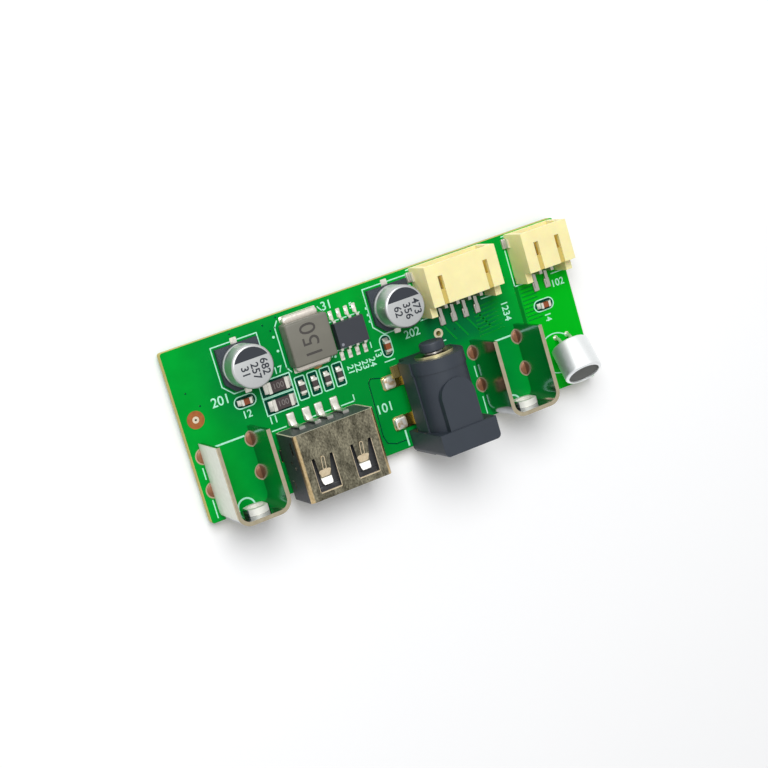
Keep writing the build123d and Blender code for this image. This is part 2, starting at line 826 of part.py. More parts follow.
def mic_back_disc():
    """Round terminal board in the back of the capsule."""
    inside = mic_diameter - 2 * mic_shell
    return Pos(0, 0, mic_disc_recess) * post(inside, mic_disc_thickness)


def mic_lead_start(side):
    """Where a lead leaves the capsule's back disc, in the part's frame."""
    at = mic_axes() * Pos(side * mic_lead_pitch / 2, 0, mic_disc_recess)
    return at.position


def mic_lead_hole(side):
    """Where the same lead goes through the board's component side."""
    across = mic_back_from_left + mic_lead_shift + side * mic_lead_pitch / 2
    return on_board(across, mic_holes_from_front).position


def mic_leads():
    """Two round leads bent down in short runs from the back of the capsule into the board."""
    backwards = (mic_axes() * Pos(0, 0, -1)).position - mic_axes().position
    leads = []
    for side in (-1, 1):
        start = mic_lead_start(side)
        hole = mic_lead_hole(side)
        knee = start + backwards * mic_lead_straight
        top = Vector(hole.X, hole.Y, hole.Z + mic_lead_rise)
        bottom = Vector(hole.X, hole.Y, 0)
        path = Polyline(start, knee, (knee + top) / 2 + backwards * mic_lead_bulge, top, bottom)
        ring = Plane(origin=start, z_dir=backwards) * RegularPolygon(mic_lead / 2, lead_sides)
        leads.append(sweep(ring, path=path, transition=Transition.RIGHT))
    return leads


def mic_solder():
    """Solder on the two leads: a filled hole and a cone underneath."""
    joints = []
    for side, lead in zip((-1, 1), mic_leads()):
        hole = mic_lead_hole(side)
        plug = solder_plug(mic_lead_hole_size, mic_lead_pad, board_thickness, solder_cone)
        joints.append(Pos(hole.X, hole.Y, hole.Z) * plug - lead)
    return joints


# ================================================================ circuit board
def circuit_board():
    """Glass-epoxy board with a hole for each tab, leg, peg and lead."""
    plan = RectangleRounded(board_length, board_width, board_corner)
    board = Pos(0, (front_edge + back_edge) / 2, tail) * extrude(plan, board_thickness)

    def drilled(from_left, from_front, diameter):
        return on_board(from_left, from_front, -board_thickness) * post(diameter, board_thickness)

    board -= drilled(ring_hole_from_left, ring_hole_from_front, ring_hole)
    board -= drilled(via_from_left, via_from_front, via_hole)
    for from_left, from_front in bracket_places.values():
        for x, y in bracket_tab_centres():
            board -= drilled(from_left + x, from_front + y, bracket_tab_hole)
    for y in jack_pegs_from_mouth:
        board -= drilled(jack_from_left, y - mouth_overhang, jack_peg + hole_clearance)
    for side in (-1, 1):
        leg_x = usb_from_left + side * (usb_width - usb_sheet) / 2
        slot = block(usb_sheet + 2 * hole_clearance, usb_leg_width + 2 * hole_clearance,
                     board_thickness)
        board -= on_board(leg_x, usb_leg_from_mouth - mouth_overhang, -board_thickness) * slot
        hole = mic_lead_hole(side)
        board -= Pos(hole.X, hole.Y, tail) * post(mic_lead_hole_size, board_thickness)
    return board


# ================================================================ write the sub-parts
save(circuit_board(), "circuit_board", GREEN)

for side_name, (from_left, from_front) in bracket_places.items():
    place = on_board(from_left, from_front)
    save(place * bracket(), side_name + "_bracket", STEEL)
    save(together(*[place * joint for joint in bracket_solder()]),
         side_name + "_bracket_solder", TIN)

save(usb_place * usb_shell(), "usb_shell", NICKEL)
save(usb_place * usb_insulator(), "usb_insulator", BLACK)
save(together(*[usb_place * Pos(x, 0, 0) * usb_contact() for x in usb_contact_offsets]),
     "usb_contacts", TIN)
save(together(*[usb_place * mound for mound in usb_solder()]), "usb_solder", TIN)

save(jack_place * jack_housing(), "jack_housing", BLACK)
save(jack_place * jack_centre_pin(), "jack_centre_pin", STEEL)
save(jack_place * jack_back_disc(), "jack_back_disc", BRASS)
save(jack_place * jack_back_boss(), "jack_back_boss", BLACK)
save(jack_place * jack_side_contact(True), "jack_left_contact", BRASS)
save(jack_place * mirror(jack_side_contact(False), Plane.YZ), "jack_right_contact", BRASS)
save(together(*[jack_place * mound for mound in jack_solder()]), "jack_solder", TIN)

for name, (pins, from_left) in headers.items():
    place = on_board(from_left, board_width - header_setback)
    save(place * header_housing(pins), name + "_header", CREAM)
    save(together(*[place * pin for pin in header_pins(pins)]), name + "_header_pins", TIN)
    save(together(*[place * item for item in header_anchors(pins)]),
         name + "_header_anchors", TIN)
    save(together(*[place * mound for mound in header_solder(pins)]),
         name + "_header_solder", TIN)

for name, (from_left, from_front) in capacitors.items():
    place = on_board(from_left, from_front)
    save(place * capacitor_can(), "capacitor_" + name + "_can", STEEL)
    save(place * capacitor_base(), "capacitor_" + name + "_base", BLACK)
    save(together(*[place * lead for lead in capacitor_leads()]),
         "capacitor_" + name + "_leads", TIN)

inductor_spot = on_board(*inductor_place)
save(inductor_spot * inductor_body(), "inductor_body", NICKEL)
save(together(*[inductor_spot * item for item in inductor_terminals()]),
     "inductor_terminals", TIN)

chip_spot = on_board(*chip_place)
save(chip_spot * chip_body(), "converter_chip", BLACK)
save(together(*[chip_spot * lead for lead in chip_leads()]), "converter_chip_leads", TIN)

large_ends = []
for number, (from_left, from_front) in enumerate(large_resistor_places, start=1):
    place = on_board(from_left, from_front)
    save(place * chip_core(large_resistor, large_resistor_end),
         "large_resistor_" + str(number), BLACK)
    large_ends += [place * end for end in chip_ends(large_resistor, large_resistor_end)]
save(together(*large_ends), "large_resistor_ends", TIN)

small_ends = []
for number in range(small_resistor_count):
    from_left = small_resistor_row_start + number * small_resistor_step
    place = on_board(from_left, small_resistor_from_front) * Rot(0, 0, 90)
    save(place * chip_core(small_resistor, small_resistor_end),
         "small_resistor_" + str(number + 1), BLACK)
    small_ends += [place * end for end in chip_ends(small_resistor, small_resistor_end)]
save(together(*small_ends), "small_resistor_ends", TIN)

header_feet = board_width - header_setback - header_depth - header_foot_reach
filter_place = (header_two_from_left + filter_capacitor_shift,
                header_feet - filter_capacitor_before_header, 0)
capacitor_ends = []
for number, spot in enumerate(chip_capacitor_places + (filter_place,), start=1):
    from_left, from_front, turn = spot
    place = on_board(from_left, from_front) * Rot(0, 0, turn)
    save(place * chip_core(chip_capacitor, chip_capacitor_end),
         "chip_capacitor_" + str(number), CERAMIC)
    capacitor_ends += [place * end for end in chip_ends(chip_capacitor, chip_capacitor_end)]
save(together(*capacitor_ends), "chip_capacitor_ends", TIN)

save(mic_axes() * mic_can(), "microphone_can", STEEL)
save(mic_axes() * mic_felt(), "microphone_felt", BLACK)
save(mic_axes() * mic_back_disc(), "microphone_back_disc", GREEN)
save(together(*mic_leads()), "microphone_leads", TIN)
save(together(*mic_solder()), "microphone_solder", TIN)
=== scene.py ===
"""Finishes a small power adapter board: printed outlines, solder, cans, materials and studio."""

import math

import bmesh
import bpy
from mathutils import Matrix, Vector


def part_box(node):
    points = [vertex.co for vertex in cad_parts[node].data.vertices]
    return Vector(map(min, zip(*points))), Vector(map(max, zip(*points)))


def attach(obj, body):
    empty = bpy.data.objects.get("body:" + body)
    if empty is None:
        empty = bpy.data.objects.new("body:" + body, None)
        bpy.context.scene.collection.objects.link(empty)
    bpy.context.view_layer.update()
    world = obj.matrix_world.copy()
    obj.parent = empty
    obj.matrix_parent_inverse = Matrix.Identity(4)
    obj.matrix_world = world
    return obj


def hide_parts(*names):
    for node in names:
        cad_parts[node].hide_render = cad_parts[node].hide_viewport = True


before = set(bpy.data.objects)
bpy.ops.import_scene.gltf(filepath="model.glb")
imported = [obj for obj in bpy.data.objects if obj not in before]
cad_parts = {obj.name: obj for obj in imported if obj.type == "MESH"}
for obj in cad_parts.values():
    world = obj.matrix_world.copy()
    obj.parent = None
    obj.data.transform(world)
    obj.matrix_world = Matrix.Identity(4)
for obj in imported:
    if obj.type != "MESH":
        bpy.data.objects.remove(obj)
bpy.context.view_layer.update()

bl_info = {
    "name": "Adapter Board",
    "version": (1, 0, 0),
    "blender": (4, 5, 0),
    "location": "3D View > Sidebar > Adapter",
    "description": "Dresses a packed DC-DC adapter board with its finishes and a studio",
    "category": "Object",
}

MM = 0.001
BOARD_LOW, BOARD_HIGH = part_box("circuit_board")
CORNER = (BOARD_LOW.x, BOARD_LOW.y, BOARD_HIGH.z)
MERGED = 0.001 * MM  # corners closer than this become one
FONT_SIZE = 1.4  # of digits that are 1 high
KEY_PLACE = Vector((-0.1, 0.26, 0.47))  # of the lamp, in metres
KEY_SIZE = 0.35

# Places on the component side, in millimetres from the board's front left corner.
UNDERSIDE = -1.4
SUNK = -0.01  # how far solder dips into what it stands on
BRACKETS = (("left", 5.55, -0.4), ("right", 50.3, 0))  # side, middle and front edge
HEADERS = (("four_pin", 45.75, 4), ("two_pin", 60.2, 2))  # name, middle and number of pins
USB_MIDDLE = 19.2
USB_FINGERS = (USB_MIDDLE - 3.07, USB_MIDDLE + 3.07)
JACK_MIDDLE = 37.35
JACK_TABS = [(JACK_MIDDLE + side * 5.6, behind) for side in (-1, 1) for behind in (4.05, 10.3)]
CAPACITORS = ((10.9, 20.15), (35.5, 20.9))
INDUCTOR = (21.2, 20.5)
CONVERTER_FEET = [27.95 + (i - 1.5) * 1.27 for i in range(4)]
SMALL_RESISTORS = [(18.7 + 2.02 * i, 14) for i in range(4)]
CHIP_CAPACITORS = ((9.95, 15, 0, 0), (33.1, 15.5, 0, 90), (59.75, 13.2, 0, 0))
COPPER_RING = (2.2, 14.9)
CAN_TOP = 5.4
SHELL_TOP = 7.09
FINGER_SLOPE = (13.2, "X")


# ---------------- settings
def length(name, description, size):
    """A length that a user may change, whose default is given in millimetres."""
    return bpy.props.FloatProperty(name=name, description=description, default=size * MM,
                                   unit="LENGTH")


def angle(name, description, degrees):
    """An angle that a user may change."""
    return bpy.props.FloatProperty(name=name, description=description,
                                   default=math.radians(degrees), subtype="ANGLE")


def tint(name, description, *default):
    """A colour that a user may change."""
    return bpy.props.FloatVectorProperty(name=name, description=description, default=default,
                                         subtype="COLOR", size=3, min=0, max=1)


class PrintSettings(bpy.types.PropertyGroup):
    """Printed outlines and copper on the component side."""
    line: length("Line", "Width of a printed line", 0.17)
    bold_line: length("Bold line", "Width of the lines round the sockets and brackets", 0.26)
    film: length("Film", "Height of the ink above the board", 0.02)
    copper: length("Copper", "Height of a copper track under the mask", 0.012)
    track: length("Track", "Width of a signal track", 0.22)
    digits: bpy.props.FloatProperty(
        name="Digits", description="Size of the printed digits, where 1 is as on the board",
        default=1, subtype="FACTOR")


class ColourSettings(bpy.types.PropertyGroup):
    """Base colours of the finishes."""
    mask: tint("Solder mask", "Green lacquer over copper", 0, 0.34, 0.03)
    bare_mask: tint("Mask without copper", "Green lacquer over bare laminate", 0, 0.055, 0.03)
    # Brighter green at the right of the board: painted light.
    painted_light_mask: tint("Solder mask at the right", "Green lacquer over the right copper plane",
                     0, 0.47, 0.012)
    # Darker green round the sockets, the header pins and the cans: painted shade.
    painted_shade_mask: tint("Solder mask over tracks", "Green lacquer where copper is sparse",
                    0, 0.165, 0.04)
    laminate: tint("Laminate", "Sawn edge of the board", 0.6, 0.52, 0.19)
    ink: tint("Ink", "Printed outlines", 0.48, 0.95, 0.72)
    # A dark tin, so that the sheet's reflections carry painted shade.
    tin: tint("Tin", "Tinned bracket sheet", 0.38, 0.4, 0.42)
    solder: tint("Solder", "Solder and tinned leads", 0.82, 0.8, 0.72)
    # Its dark tone is partly a painted dark reflection from above; the mottle is the plate's own.
    shell: tint("Socket shell", "Nickel plate of the USB socket", 0.2, 0.185, 0.13)
    black: tint("Black plastic", "Power jack and bases", 0.022, 0.03, 0.043)
    cream: tint("Cream nylon", "Wire headers", 0.93, 0.83, 0.43)
    can: tint("Can", "Aluminium cans", 0.53, 0.545, 0.545)
    ferrite: tint("Ferrite", "Inductor block", 0.168, 0.162, 0.132)
    chip: tint("Chip", "Moulded chip package", 0.026, 0.03, 0.04)


class StageSettings(bpy.types.PropertyGroup):
    """Camera, lamp and floor."""
    aim: bpy.props.FloatVectorProperty(
        name="Aim", description="Point that the camera looks at", subtype="TRANSLATION",
        size=3, default=(-1.45 * MM, -1.94 * MM, 2.4 * MM))
    distance: length("Distance", "From the camera to its aim", 273.7)
    azimuth: angle("Azimuth", "Camera's bearing, from the front and turning to the right",
                   -116.15)
    elevation: angle("Elevation", "Camera's height above the floor", 66.19)
    roll: angle("Roll", "Turn of the camera about its own axis", 97.76)
    lens: bpy.props.FloatProperty(
        name="Lens", description="Focal length on a 36 mm wide sensor, in millimetres",
        default=87.5)
    daylight: bpy.props.FloatProperty(
        name="Daylight", description="Strength of the white surroundings", default=0.52)
    key: bpy.props.FloatProperty(
        name="Key lamp", description="Power of the soft lamp behind the board, in watts",
        default=2.4)
    lift: bpy.props.FloatProperty(
        name="Floor lift", description="White added to the floor where it is seen", default=0.04)
    floor: tint("Floor", "Colour of the floor", 0.97, 0.975, 0.985)


def prints():
    return bpy.context.scene.adapter_prints


def colours():
    return bpy.context.scene.adapter_colours


# ---------------- materials
class Nodes:
    """Makes the nodes of one tree."""

    def __init__(self, tree):
        self.tree = tree

    def fill(self, node, sockets):
        """Links a node's sockets to patterns, or gives them plain numbers and colours."""
        for name, value in sockets.items():
            socket = node.inputs[name]
            if isinstance(value, bpy.types.NodeSocket):
                self.tree.links.new(value, socket)
            elif socket.type == "RGBA":
                socket.default_value = (*value[:3], 1)
            else:
                socket.default_value = value

    def node(self, kind, sockets=None, **choices):
        made = self.tree.nodes.new("ShaderNode" + kind)
        for key, value in choices.items():
            setattr(made, key, value)
        self.fill(made, sockets or {})
        return made

    def both(self, operation, first, second):
        """One pattern worked out from two."""
        made = self.node("Math", {0: first, 1: second}, operation=operation)
        return made.outputs["Value"]

    def seen(self):
        """1 for the rays that see a thing straight, mirrored or through something clear."""
        ray = self.node("LightPath").outputs
        either = self.both("MAXIMUM", ray["Is Camera Ray"], ray["Is Glossy Ray"])
        return self.both("MAXIMUM", either, ray["Is Transmission Ray"])


class Finish(Nodes):
    """A material built round one principled shader, with patterns in Object coordinates.

    Grain, borders and heights are in millimetres."""

    def __init__(self, name, rough=0.5, metal=0, gloss=0.5):
        self.material = bpy.data.materials.new(name)
        self.material.use_nodes = True
        super().__init__(self.material.node_tree)
        self.shader = self.tree.nodes["Principled BSDF"]
        self.fill(self.shader, {"Roughness": rough, "Metallic": metal,
                                "Specular IOR Level": gloss})
        self.place = self.node("TexCoord").outputs["Object"]

    def noise(self, grain, detail=3, stretch=None, rough=0.5):
        """Noise whose lumps are about one grain across."""
        place = self.place
        if stretch:
            place = self.node("Mapping",
                              {"Vector": place, "Scale": stretch}).outputs["Vector"]
        return self.node("TexNoise", {
            "Vector": place, "Scale": 1 / (grain * MM), "Detail": detail,
            "Roughness": rough}).outputs["Fac"]

    def ramp(self, fac, low, high, curve="LINEAR"):
        """Stretches the part of a pattern between low and high to the range 0 to 1."""
        return self.node("MapRange", {"Value": fac, "From Min": low, "From Max": high},
                         interpolation_type=curve).outputs["Result"]

    def between(self, fac, low, high):
        """Numbers from low to high, as the pattern goes from 0 to 1."""
        return self.node("MapRange",
                         {"Value": fac, "To Min": low, "To Max": high}).outputs["Result"]

    def mix(self, fac, first, second):
        """Colour that goes from the first to the second with the pattern."""
        return self.node("Mix", {"Factor": fac, "A": first, "B": second},
                         data_type="RGBA").outputs["Result"]

    def tones(self, fac, colour, dark, light):
        """Mix of a darker and a lighter shade of one colour."""
        return self.mix(fac, shade(colour, dark), shade(colour, light))

    def facing(self, axis, low, high):
        """1 where the surface faces along an axis, either way, and 0 across it."""
        normal = self.node("NewGeometry").outputs["True Normal"]
        parts = self.node("SeparateXYZ", {"Vector": normal})
        size = self.node("Math", {0: parts.outputs[axis]}, operation="ABSOLUTE")
        return self.ramp(size.outputs["Value"], low, high)

    def patch(self, low, high, soft, most=1):
        """Reaches its most within a box on the board, and fades out over the soft border."""
        parts = self.node("SeparateXYZ", {"Vector": self.place})
        soft *= MM
        inside = None
        for axis, start, near, far in zip("XYZ", CORNER, low, high):
            near, far = start + near * MM, start + far * MM
            for outer, inner in ((near - soft, near + soft), (far + soft, far - soft)):
                edge = self.ramp(parts.outputs[axis], outer, inner, "SMOOTHSTEP")
                inside = self.both("MULTIPLY", inside, edge) if inside else edge
        return inside if most == 1 else self.between(inside, 0, most)

    def colour(self, source):
        self.tone = source
        self.fill(self.shader, {"Base Color": source})

    def rough(self, source):
        self.fill(self.shader, {"Roughness": source})

    def metal(self, source):
        self.fill(self.shader, {"Metallic": source})

    def bump(self, source, height, strength):
        made = self.node("Bump", {"Height": source, "Distance": height * MM,
                                            "Strength": strength})
        self.fill(self.shader, {"Normal": made.outputs["Normal"]})


def dress(finish, *nodes):
    """Gives CAD nodes a finish."""
    for name in nodes:
        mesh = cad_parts[name].data
        mesh.materials.clear()
        mesh.materials.append(finish.material)


def shade(colour, factor):
    return tuple(min(1, channel * factor) for channel in colour[:3])


# ---------------- mesh helpers, with every size in millimetres
def turned(degrees, axis="Z"):
    return Matrix.Rotation(math.radians(degrees), 4, axis)


def shifted(across, along, above):
    return Matrix.Translation((across * MM, along * MM, above * MM))


def on_board(from_left, from_front, above=0, turn=0, axis="Z"):
    """Place from the front left corner of the component side, with a turn on the spot."""
    place = [start + way * MM for start, way in zip(CORNER, (from_left, from_front, above))]
    return Matrix.Translation(place) @ turned(turn, axis)


def moved(shape, matrix):
    bmesh.ops.transform(shape, matrix=matrix, verts=shape.verts)
    return shape


def placed(shape, *place):
    return moved(shape, on_board(*place))


def joined(shapes):
    """One shape from a list of them, which are used up."""
    if not isinstance(shapes, list):
        return shapes
    whole = bmesh.new()
    for shape in shapes:
        part = bpy.data.meshes.new("part")
        shape.to_mesh(part)
        shape.free()
        whole.from_mesh(part)
        bpy.data.meshes.remove(part)
    return whole


def raised(shapes, height):
    """Gives flat shapes a thickness, upwards."""
    shape = joined(shapes)
    made = bmesh.ops.extrude_face_region(shape, geom=shape.faces[:])
    top = [item for item in made["geom"] if isinstance(item, bmesh.types.BMVert)]
    bmesh.ops.translate(shape, vec=(0, 0, height * MM), verts=top)
    bmesh.ops.recalc_face_normals(shape, faces=shape.faces)
    return shape


def rounded(shape, geom, size, steps, affect="EDGES"):
    """Rounds some edges of a shape, or some corners of a flat one."""
    bmesh.ops.bevel(shape, geom=geom, offset=size * MM, offset_type="OFFSET", segments=steps,
                    profile=0.5, affect=affect, material=-1)
    return shape


def sliced(shape, place, away):
    """Cuts off what lies past a plane, whose place is in metres."""
    bmesh.ops.bisect_plane(shape, geom=shape.verts[:] + shape.edges[:] + shape.faces[:],
                           plane_co=place, plane_no=away, clear_outer=True)
    return shape


def flat(width, depth, corner=0, steps=5, front_only=False):
    """Flat rectangle whose corners, or only those in front, are rounded."""
    shape = bmesh.new()
    bmesh.ops.create_grid(shape, x_segments=1, y_segments=1, size=0.5)
    bmesh.ops.scale(shape, vec=(width * MM, depth * MM, 1), verts=shape.verts)
    if corner:
        corners = [v for v in shape.verts if v.co.y < 0 or not front_only]
        rounded(shape, corners, corner, steps, "VERTICES")
    return shape


def disc(radius, steps=40):
    shape = bmesh.new()
    bmesh.ops.create_circle(shape, cap_ends=True, segments=steps, radius=radius * MM)
    return shape


def hollowed(shape, line):
    """Leaves only a line round the edge of a flat face."""
    middle = shape.faces[:]
    bmesh.ops.inset_region(shape, faces=middle, thickness=line * MM, use_even_offset=True,
                           use_boundary=True)
    bmesh.ops.delete(shape, geom=middle, context="FACES")
    return shape


def stroke(start, end, line):
    """Flat straight line between two places on the board."""
    run = Vector(end) - Vector(start)
    middle = (Vector(start) + Vector(end)) / 2
    bearing = math.degrees(math.atan2(run.y, run.x))
    return placed(flat(run.length + 0.9 * line, line), middle.x, middle.y, 0, bearing)


def digits(text, height, film, weight=0):
    """Plain digits on the origin: flat where the film is zero, else standing on it."""
    curve = bpy.data.curves.new("digits", "FONT")
    curve.body = text
    curve.align_x = curve.align_y = "CENTER"
    curve.size = height * MM * FONT_SIZE
    curve.offset = weight * MM
    curve.resolution_u = 4
    written = bpy.data.objects.new("digits", curve)
    mesh = bpy.data.meshes.new_from_object(written)
    shape = bmesh.new()
    shape.from_mesh(mesh)
    bpy.data.objects.remove(written)
    bpy.data.curves.remove(curve)
    bpy.data.meshes.remove(mesh)
    bmesh.ops.remove_doubles(shape, verts=shape.verts, dist=MERGED)
    return raised(shape, film) if film else shape


def lathe(profile, steps=64):
    """Solid turned about Z from (radius, height) points that start and end on the axis."""
    shape = bmesh.new()
    points = [shape.verts.new((radius * MM, 0, height * MM)) for radius, height in profile]
    edges = [shape.edges.new(pair) for pair in zip(points, points[1:])]
    bmesh.ops.spin(shape, geom=points + edges, cent=(0, 0, 0), axis=(0, 0, 1),
                   angle=2 * math.pi, steps=steps, use_merge=True)
    bmesh.ops.remove_doubles(shape, verts=shape.verts, dist=MERGED)
    bmesh.ops.recalc_face_normals(shape, faces=shape.faces)
    return shape


def arc(across, up, radius, start, end, steps):
    """Points of a profile along an arc about (across, up), its angles in degrees."""
    angles = [math.radians(start + (end - start) * i / steps) for i in range(steps + 1)]
    return [(across + radius * math.cos(angle), up + radius * math.sin(angle))
            for angle in angles]


def dome(width, length, height):
    """Half of a flattened ball, flat side down."""
    shape = bmesh.new()
    bmesh.ops.create_uvsphere(shape, u_segments=24, v_segments=12, radius=1)
    bmesh.ops.scale(shape, vec=(width * MM / 2, length * MM / 2, height * MM),
                    verts=shape.verts)
    sliced(shape, (0, 0, 0), (0, 0, -1))
    bmesh.ops.remove_doubles(shape, verts=shape.verts, dist=MERGED)
    bmesh.ops.holes_fill(shape, edges=[e for e in shape.edges if e.is_boundary])
    return shape


def brick(width, depth, height, edge, steps=3, fall=0):
    """Block standing on the origin with rounded edges, whose top may fall towards -X."""
    shape = bmesh.new()
    bmesh.ops.create_cube(shape, size=1)
    bmesh.ops.scale(shape, vec=(width * MM, depth * MM, height * MM), verts=shape.verts)
    for vert in shape.verts:
        if vert.co.z > 0 and vert.co.x < 0:
            vert.co.z -= fall * height * MM
    return moved(rounded(shape, shape.edges[:], edge, steps), shifted(0, 0, height / 2))


def wedge(width, length, height, edge):
    """Solder that climbs along +X to its full height."""
    return brick(length, width, height, edge, fall=0.75)


def pill(width, depth, height, corner, edge):
    """Flat-bottomed cushion standing on the origin, with round corners and a round top edge."""
    shape = raised(flat(width, depth, corner, 8), height)
    rim = [e for e in shape.edges if all(v.co.z > 0.9 * height * MM for v in e.verts)]
    return rounded(shape, rim, edge, 5)


def bracket_tabs(middle, front):
    """Places of the four soldered tabs of a bracket."""
    return [(middle + across, front + behind) for across in (-3.85, 3.85)
            for behind in (5, 10.05)]


def shown(name, shape, finish):
    """Puts a shape into the scene as an object and uses it up."""
    mesh = bpy.data.meshes.new(name)
    shape.to_mesh(mesh)
    shape.free()
    mesh.materials.append(finish.material)
    thing = bpy.data.objects.new(name, mesh)
    bpy.context.scene.collection.objects.link(thing)
    return thing


def build(name, shapes, finish, soft_angle=40, stands_for=()):
    """Makes the finished piece of one shape or a list of them; it rides on the board."""
    shape = joined(shapes)
    bmesh.ops.recalc_face_normals(shape, faces=shape.faces)
    piece = shown(name, shape, finish)
    piece.data.shade_smooth()
    piece.data.set_sharp_from_angle(angle=math.radians(soft_angle))
    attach(piece, "root")
    if stands_for:
        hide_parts(*stands_for)


# ---------------- finishes
def clouded(name, dark, light, grain, detail=3, bump=None, **shine):
    """Clouds between two colours, which stand out a little where a bump is given."""
    finish = Finish(name, **shine)
    cloud = finish.noise(grain, detail)
    finish.colour(finish.mix(cloud, dark, light))
    if bump:
        finish.bump(cloud, *bump)
    return finish


def mask_finish(name, colour, painted_patches=False):
    """Green lacquer with a faint unevenness, and sawn laminate on the edges; where asked, darker
    green patches of painted shade round the sockets, header pins and cans, and a brighter green
    of painted light at the right.
    """
    finish = Finish(name, gloss=0.04)
    green = finish.tones(finish.ramp(finish.noise(4, 4), 0.3, 0.7), colour, 0.9, 1.1)
    if painted_patches:
        painted_shade_green, right = colours().painted_shade_mask, colours().painted_light_mask
        # The first, third and last patches are painted shade; the second, at the right, is
        # painted light.
        for low, high, soft, most, tint in (
                ((7, -6, -3.1), (54, 20, 4), 3, 0.42, painted_shade_green),
                ((56.4, -5, -0.7), (80, 40, 1), 0.3, 1, right),
                ((5, 13, -3.6), (24, 27, 5), 3.5, 0.45, painted_shade_green),
                ((39.5, 12.2, -1.35), (51.2, 18, 4), 1.3, 1, painted_shade_green)):
            green = finish.mix(finish.patch(low, high, soft, most), green, tint)
    fibre = finish.noise(0.25, 2, stretch=(0.2, 0.2, 1))
    sawn = finish.tones(fibre, colours().laminate, 0.75, 1.15)
    top = finish.facing("Z", 0.45, 0.55)
    finish.colour(finish.mix(top, sawn, green))
    finish.rough(finish.between(top, 0.75, 0.2))
    finish.bump(finish.noise(0.6, 2), 0.004, 0.5)
    return finish


def ink_finish():
    finish = Finish("printed_ink", rough=0.6, gloss=0.2)
    worn = finish.ramp(finish.noise(0.25), 0.35, 0.6)
    finish.colour(finish.tones(worn, colours().ink, 0.82, 1))
    return finish


def solder_finish(name="solder", colour=None, rough=0.3):
    finish = Finish(name, metal=0.7)
    cloud = finish.noise(0.35)
    finish.colour(finish.tones(cloud, colour or colours().solder, 0.85, 1.1))
    finish.rough(finish.between(cloud, rough - 0.08, rough + 0.12))
    finish.bump(finish.noise(0.9, 2), 0.02, 0.5)
    return finish


def tin_finish(name, middle, front, painted_lit_wall):
    """Tinned sheet: a clear reflection, with darker cut edges, a collar painted near white as a
    highlight, and where asked an outer wall painted lighter and duller as painted light.
    """
    finish = Finish(name)
    rub = finish.noise(0.8, 4)
    sheet = finish.tones(rub, colours().tin, 0.85, 1.05)
    cut_edge = finish.mix(rub, (0.4, 0.34, 0.22), (0.6, 0.54, 0.4))
    # The collar's top is painted near white and dull: a painted highlight.
    collar = finish.patch((middle - 1.5, front + 0.62, 2), (middle + 1.5, front + 2.5, 6), 0.02)
    dull = collar
    if painted_lit_wall:
        # The left bracket's outer wall is painted lighter and duller: painted light.
        wall = finish.patch((middle - 5, front - 1, 0.2), (middle - 4, front + 13, 9), 0.02)
        dull = finish.both("MAXIMUM", collar, wall)
    sheet = finish.mix(dull, sheet, finish.mix(rub, (0.66, 0.68, 0.6), (0.84, 0.86, 0.78)))
    edged = finish.mix(finish.facing("Z", 0.6, 0.9), sheet, cut_edge)
    painted_collar_highlight = finish.mix(rub, (0.72, 0.72, 0.64), (0.94, 0.94, 0.86))
    finish.colour(finish.mix(collar, edged, painted_collar_highlight))
    finish.rough(finish.between(dull, 0.17, 0.5))
    finish.metal(finish.between(dull, 1, 0.3))
    finish.bump(finish.noise(3, 2), 0.02, 0.3)
    return finish


def shell_finish():
    """Nickel plate: mottled on top, in a dark tone that is partly a painted dark reflection from
    above; gold on the folds; side walls and inner floor darkened as painted shade, finger tips
    painted near white as highlights; bright where the sheet is cut.
    """
    shell = colours().shell
    finish = Finish("nickel_plate")
    lumps = finish.ramp(finish.noise(1.4, 4, stretch=(1, 0.5, 1), rough=0.65), 0.4, 0.6)
    grain = finish.ramp(finish.noise(0.22, 4, stretch=(1, 0.55, 1), rough=0.65), 0.3, 0.72)
    dark = finish.tones(lumps, shell, 0.24, 0.58)
    light = finish.tones(lumps, shell, 1.05, 2.25)
    plate = finish.mix(grain, dark, light)
    # Dark side walls: painted shade.
    wall = finish.mix(grain, (0.05, 0.055, 0.07), (0.12, 0.12, 0.13))
    # Gold on the folds.
    worn = finish.mix(grain, (0.5, 0.36, 0.17), (0.8, 0.62, 0.36))
    cut = finish.mix(grain, (0.7, 0.6, 0.45), (0.9, 0.82, 0.66))
    side = finish.facing("X", 0.92, 0.98)
    end = finish.facing("Y", 0.9, 0.98)
    sheet = finish.mix(finish.facing("X", 0.12, 0.3), plate, worn)
    sheet = finish.mix(side, sheet, wall)
    # The inner floor is painted dark: painted shade inside the mouth.
    shaded_inner_floor = finish.patch((13.1, -0.88, -0.5), (25.3, 9.2, 1), 0.01)
    sheet = finish.mix(shaded_inner_floor, sheet, (0.075, 0.07, 0.065))
    for middle in USB_FINGERS:
        # The finger tips are painted near white: painted highlights.
        tip_highlight = finish.patch((middle - 1.1, 0.8, 5), (middle + 1.1, 1.9, 7.2), 0.08)
        sheet = finish.mix(tip_highlight, sheet, (0.97, 0.95, 0.9))
    finish.colour(finish.mix(end, sheet, cut))
    dull = finish.both("MAXIMUM", side, end)
    finish.metal(finish.between(dull, 1, 0.35))
    finish.rough(finish.between(dull, 0.3, 0.5))
    finish.bump(finish.noise(0.5, 2), 0.012, 0.5)
    return finish


def plastic_finish(name, colour, rough=0.5, grain=0.15, depth=0.006):
    """Moulded plastic with a fine even grain."""
    finish = Finish(name)
    cloud = finish.noise(2.5)
    finish.colour(finish.tones(cloud, colour, 0.9, 1.1))
    finish.rough(finish.between(cloud, rough - 0.06, rough + 0.06))
    finish.bump(finish.noise(grain, 2), depth, 0.6)
    return finish


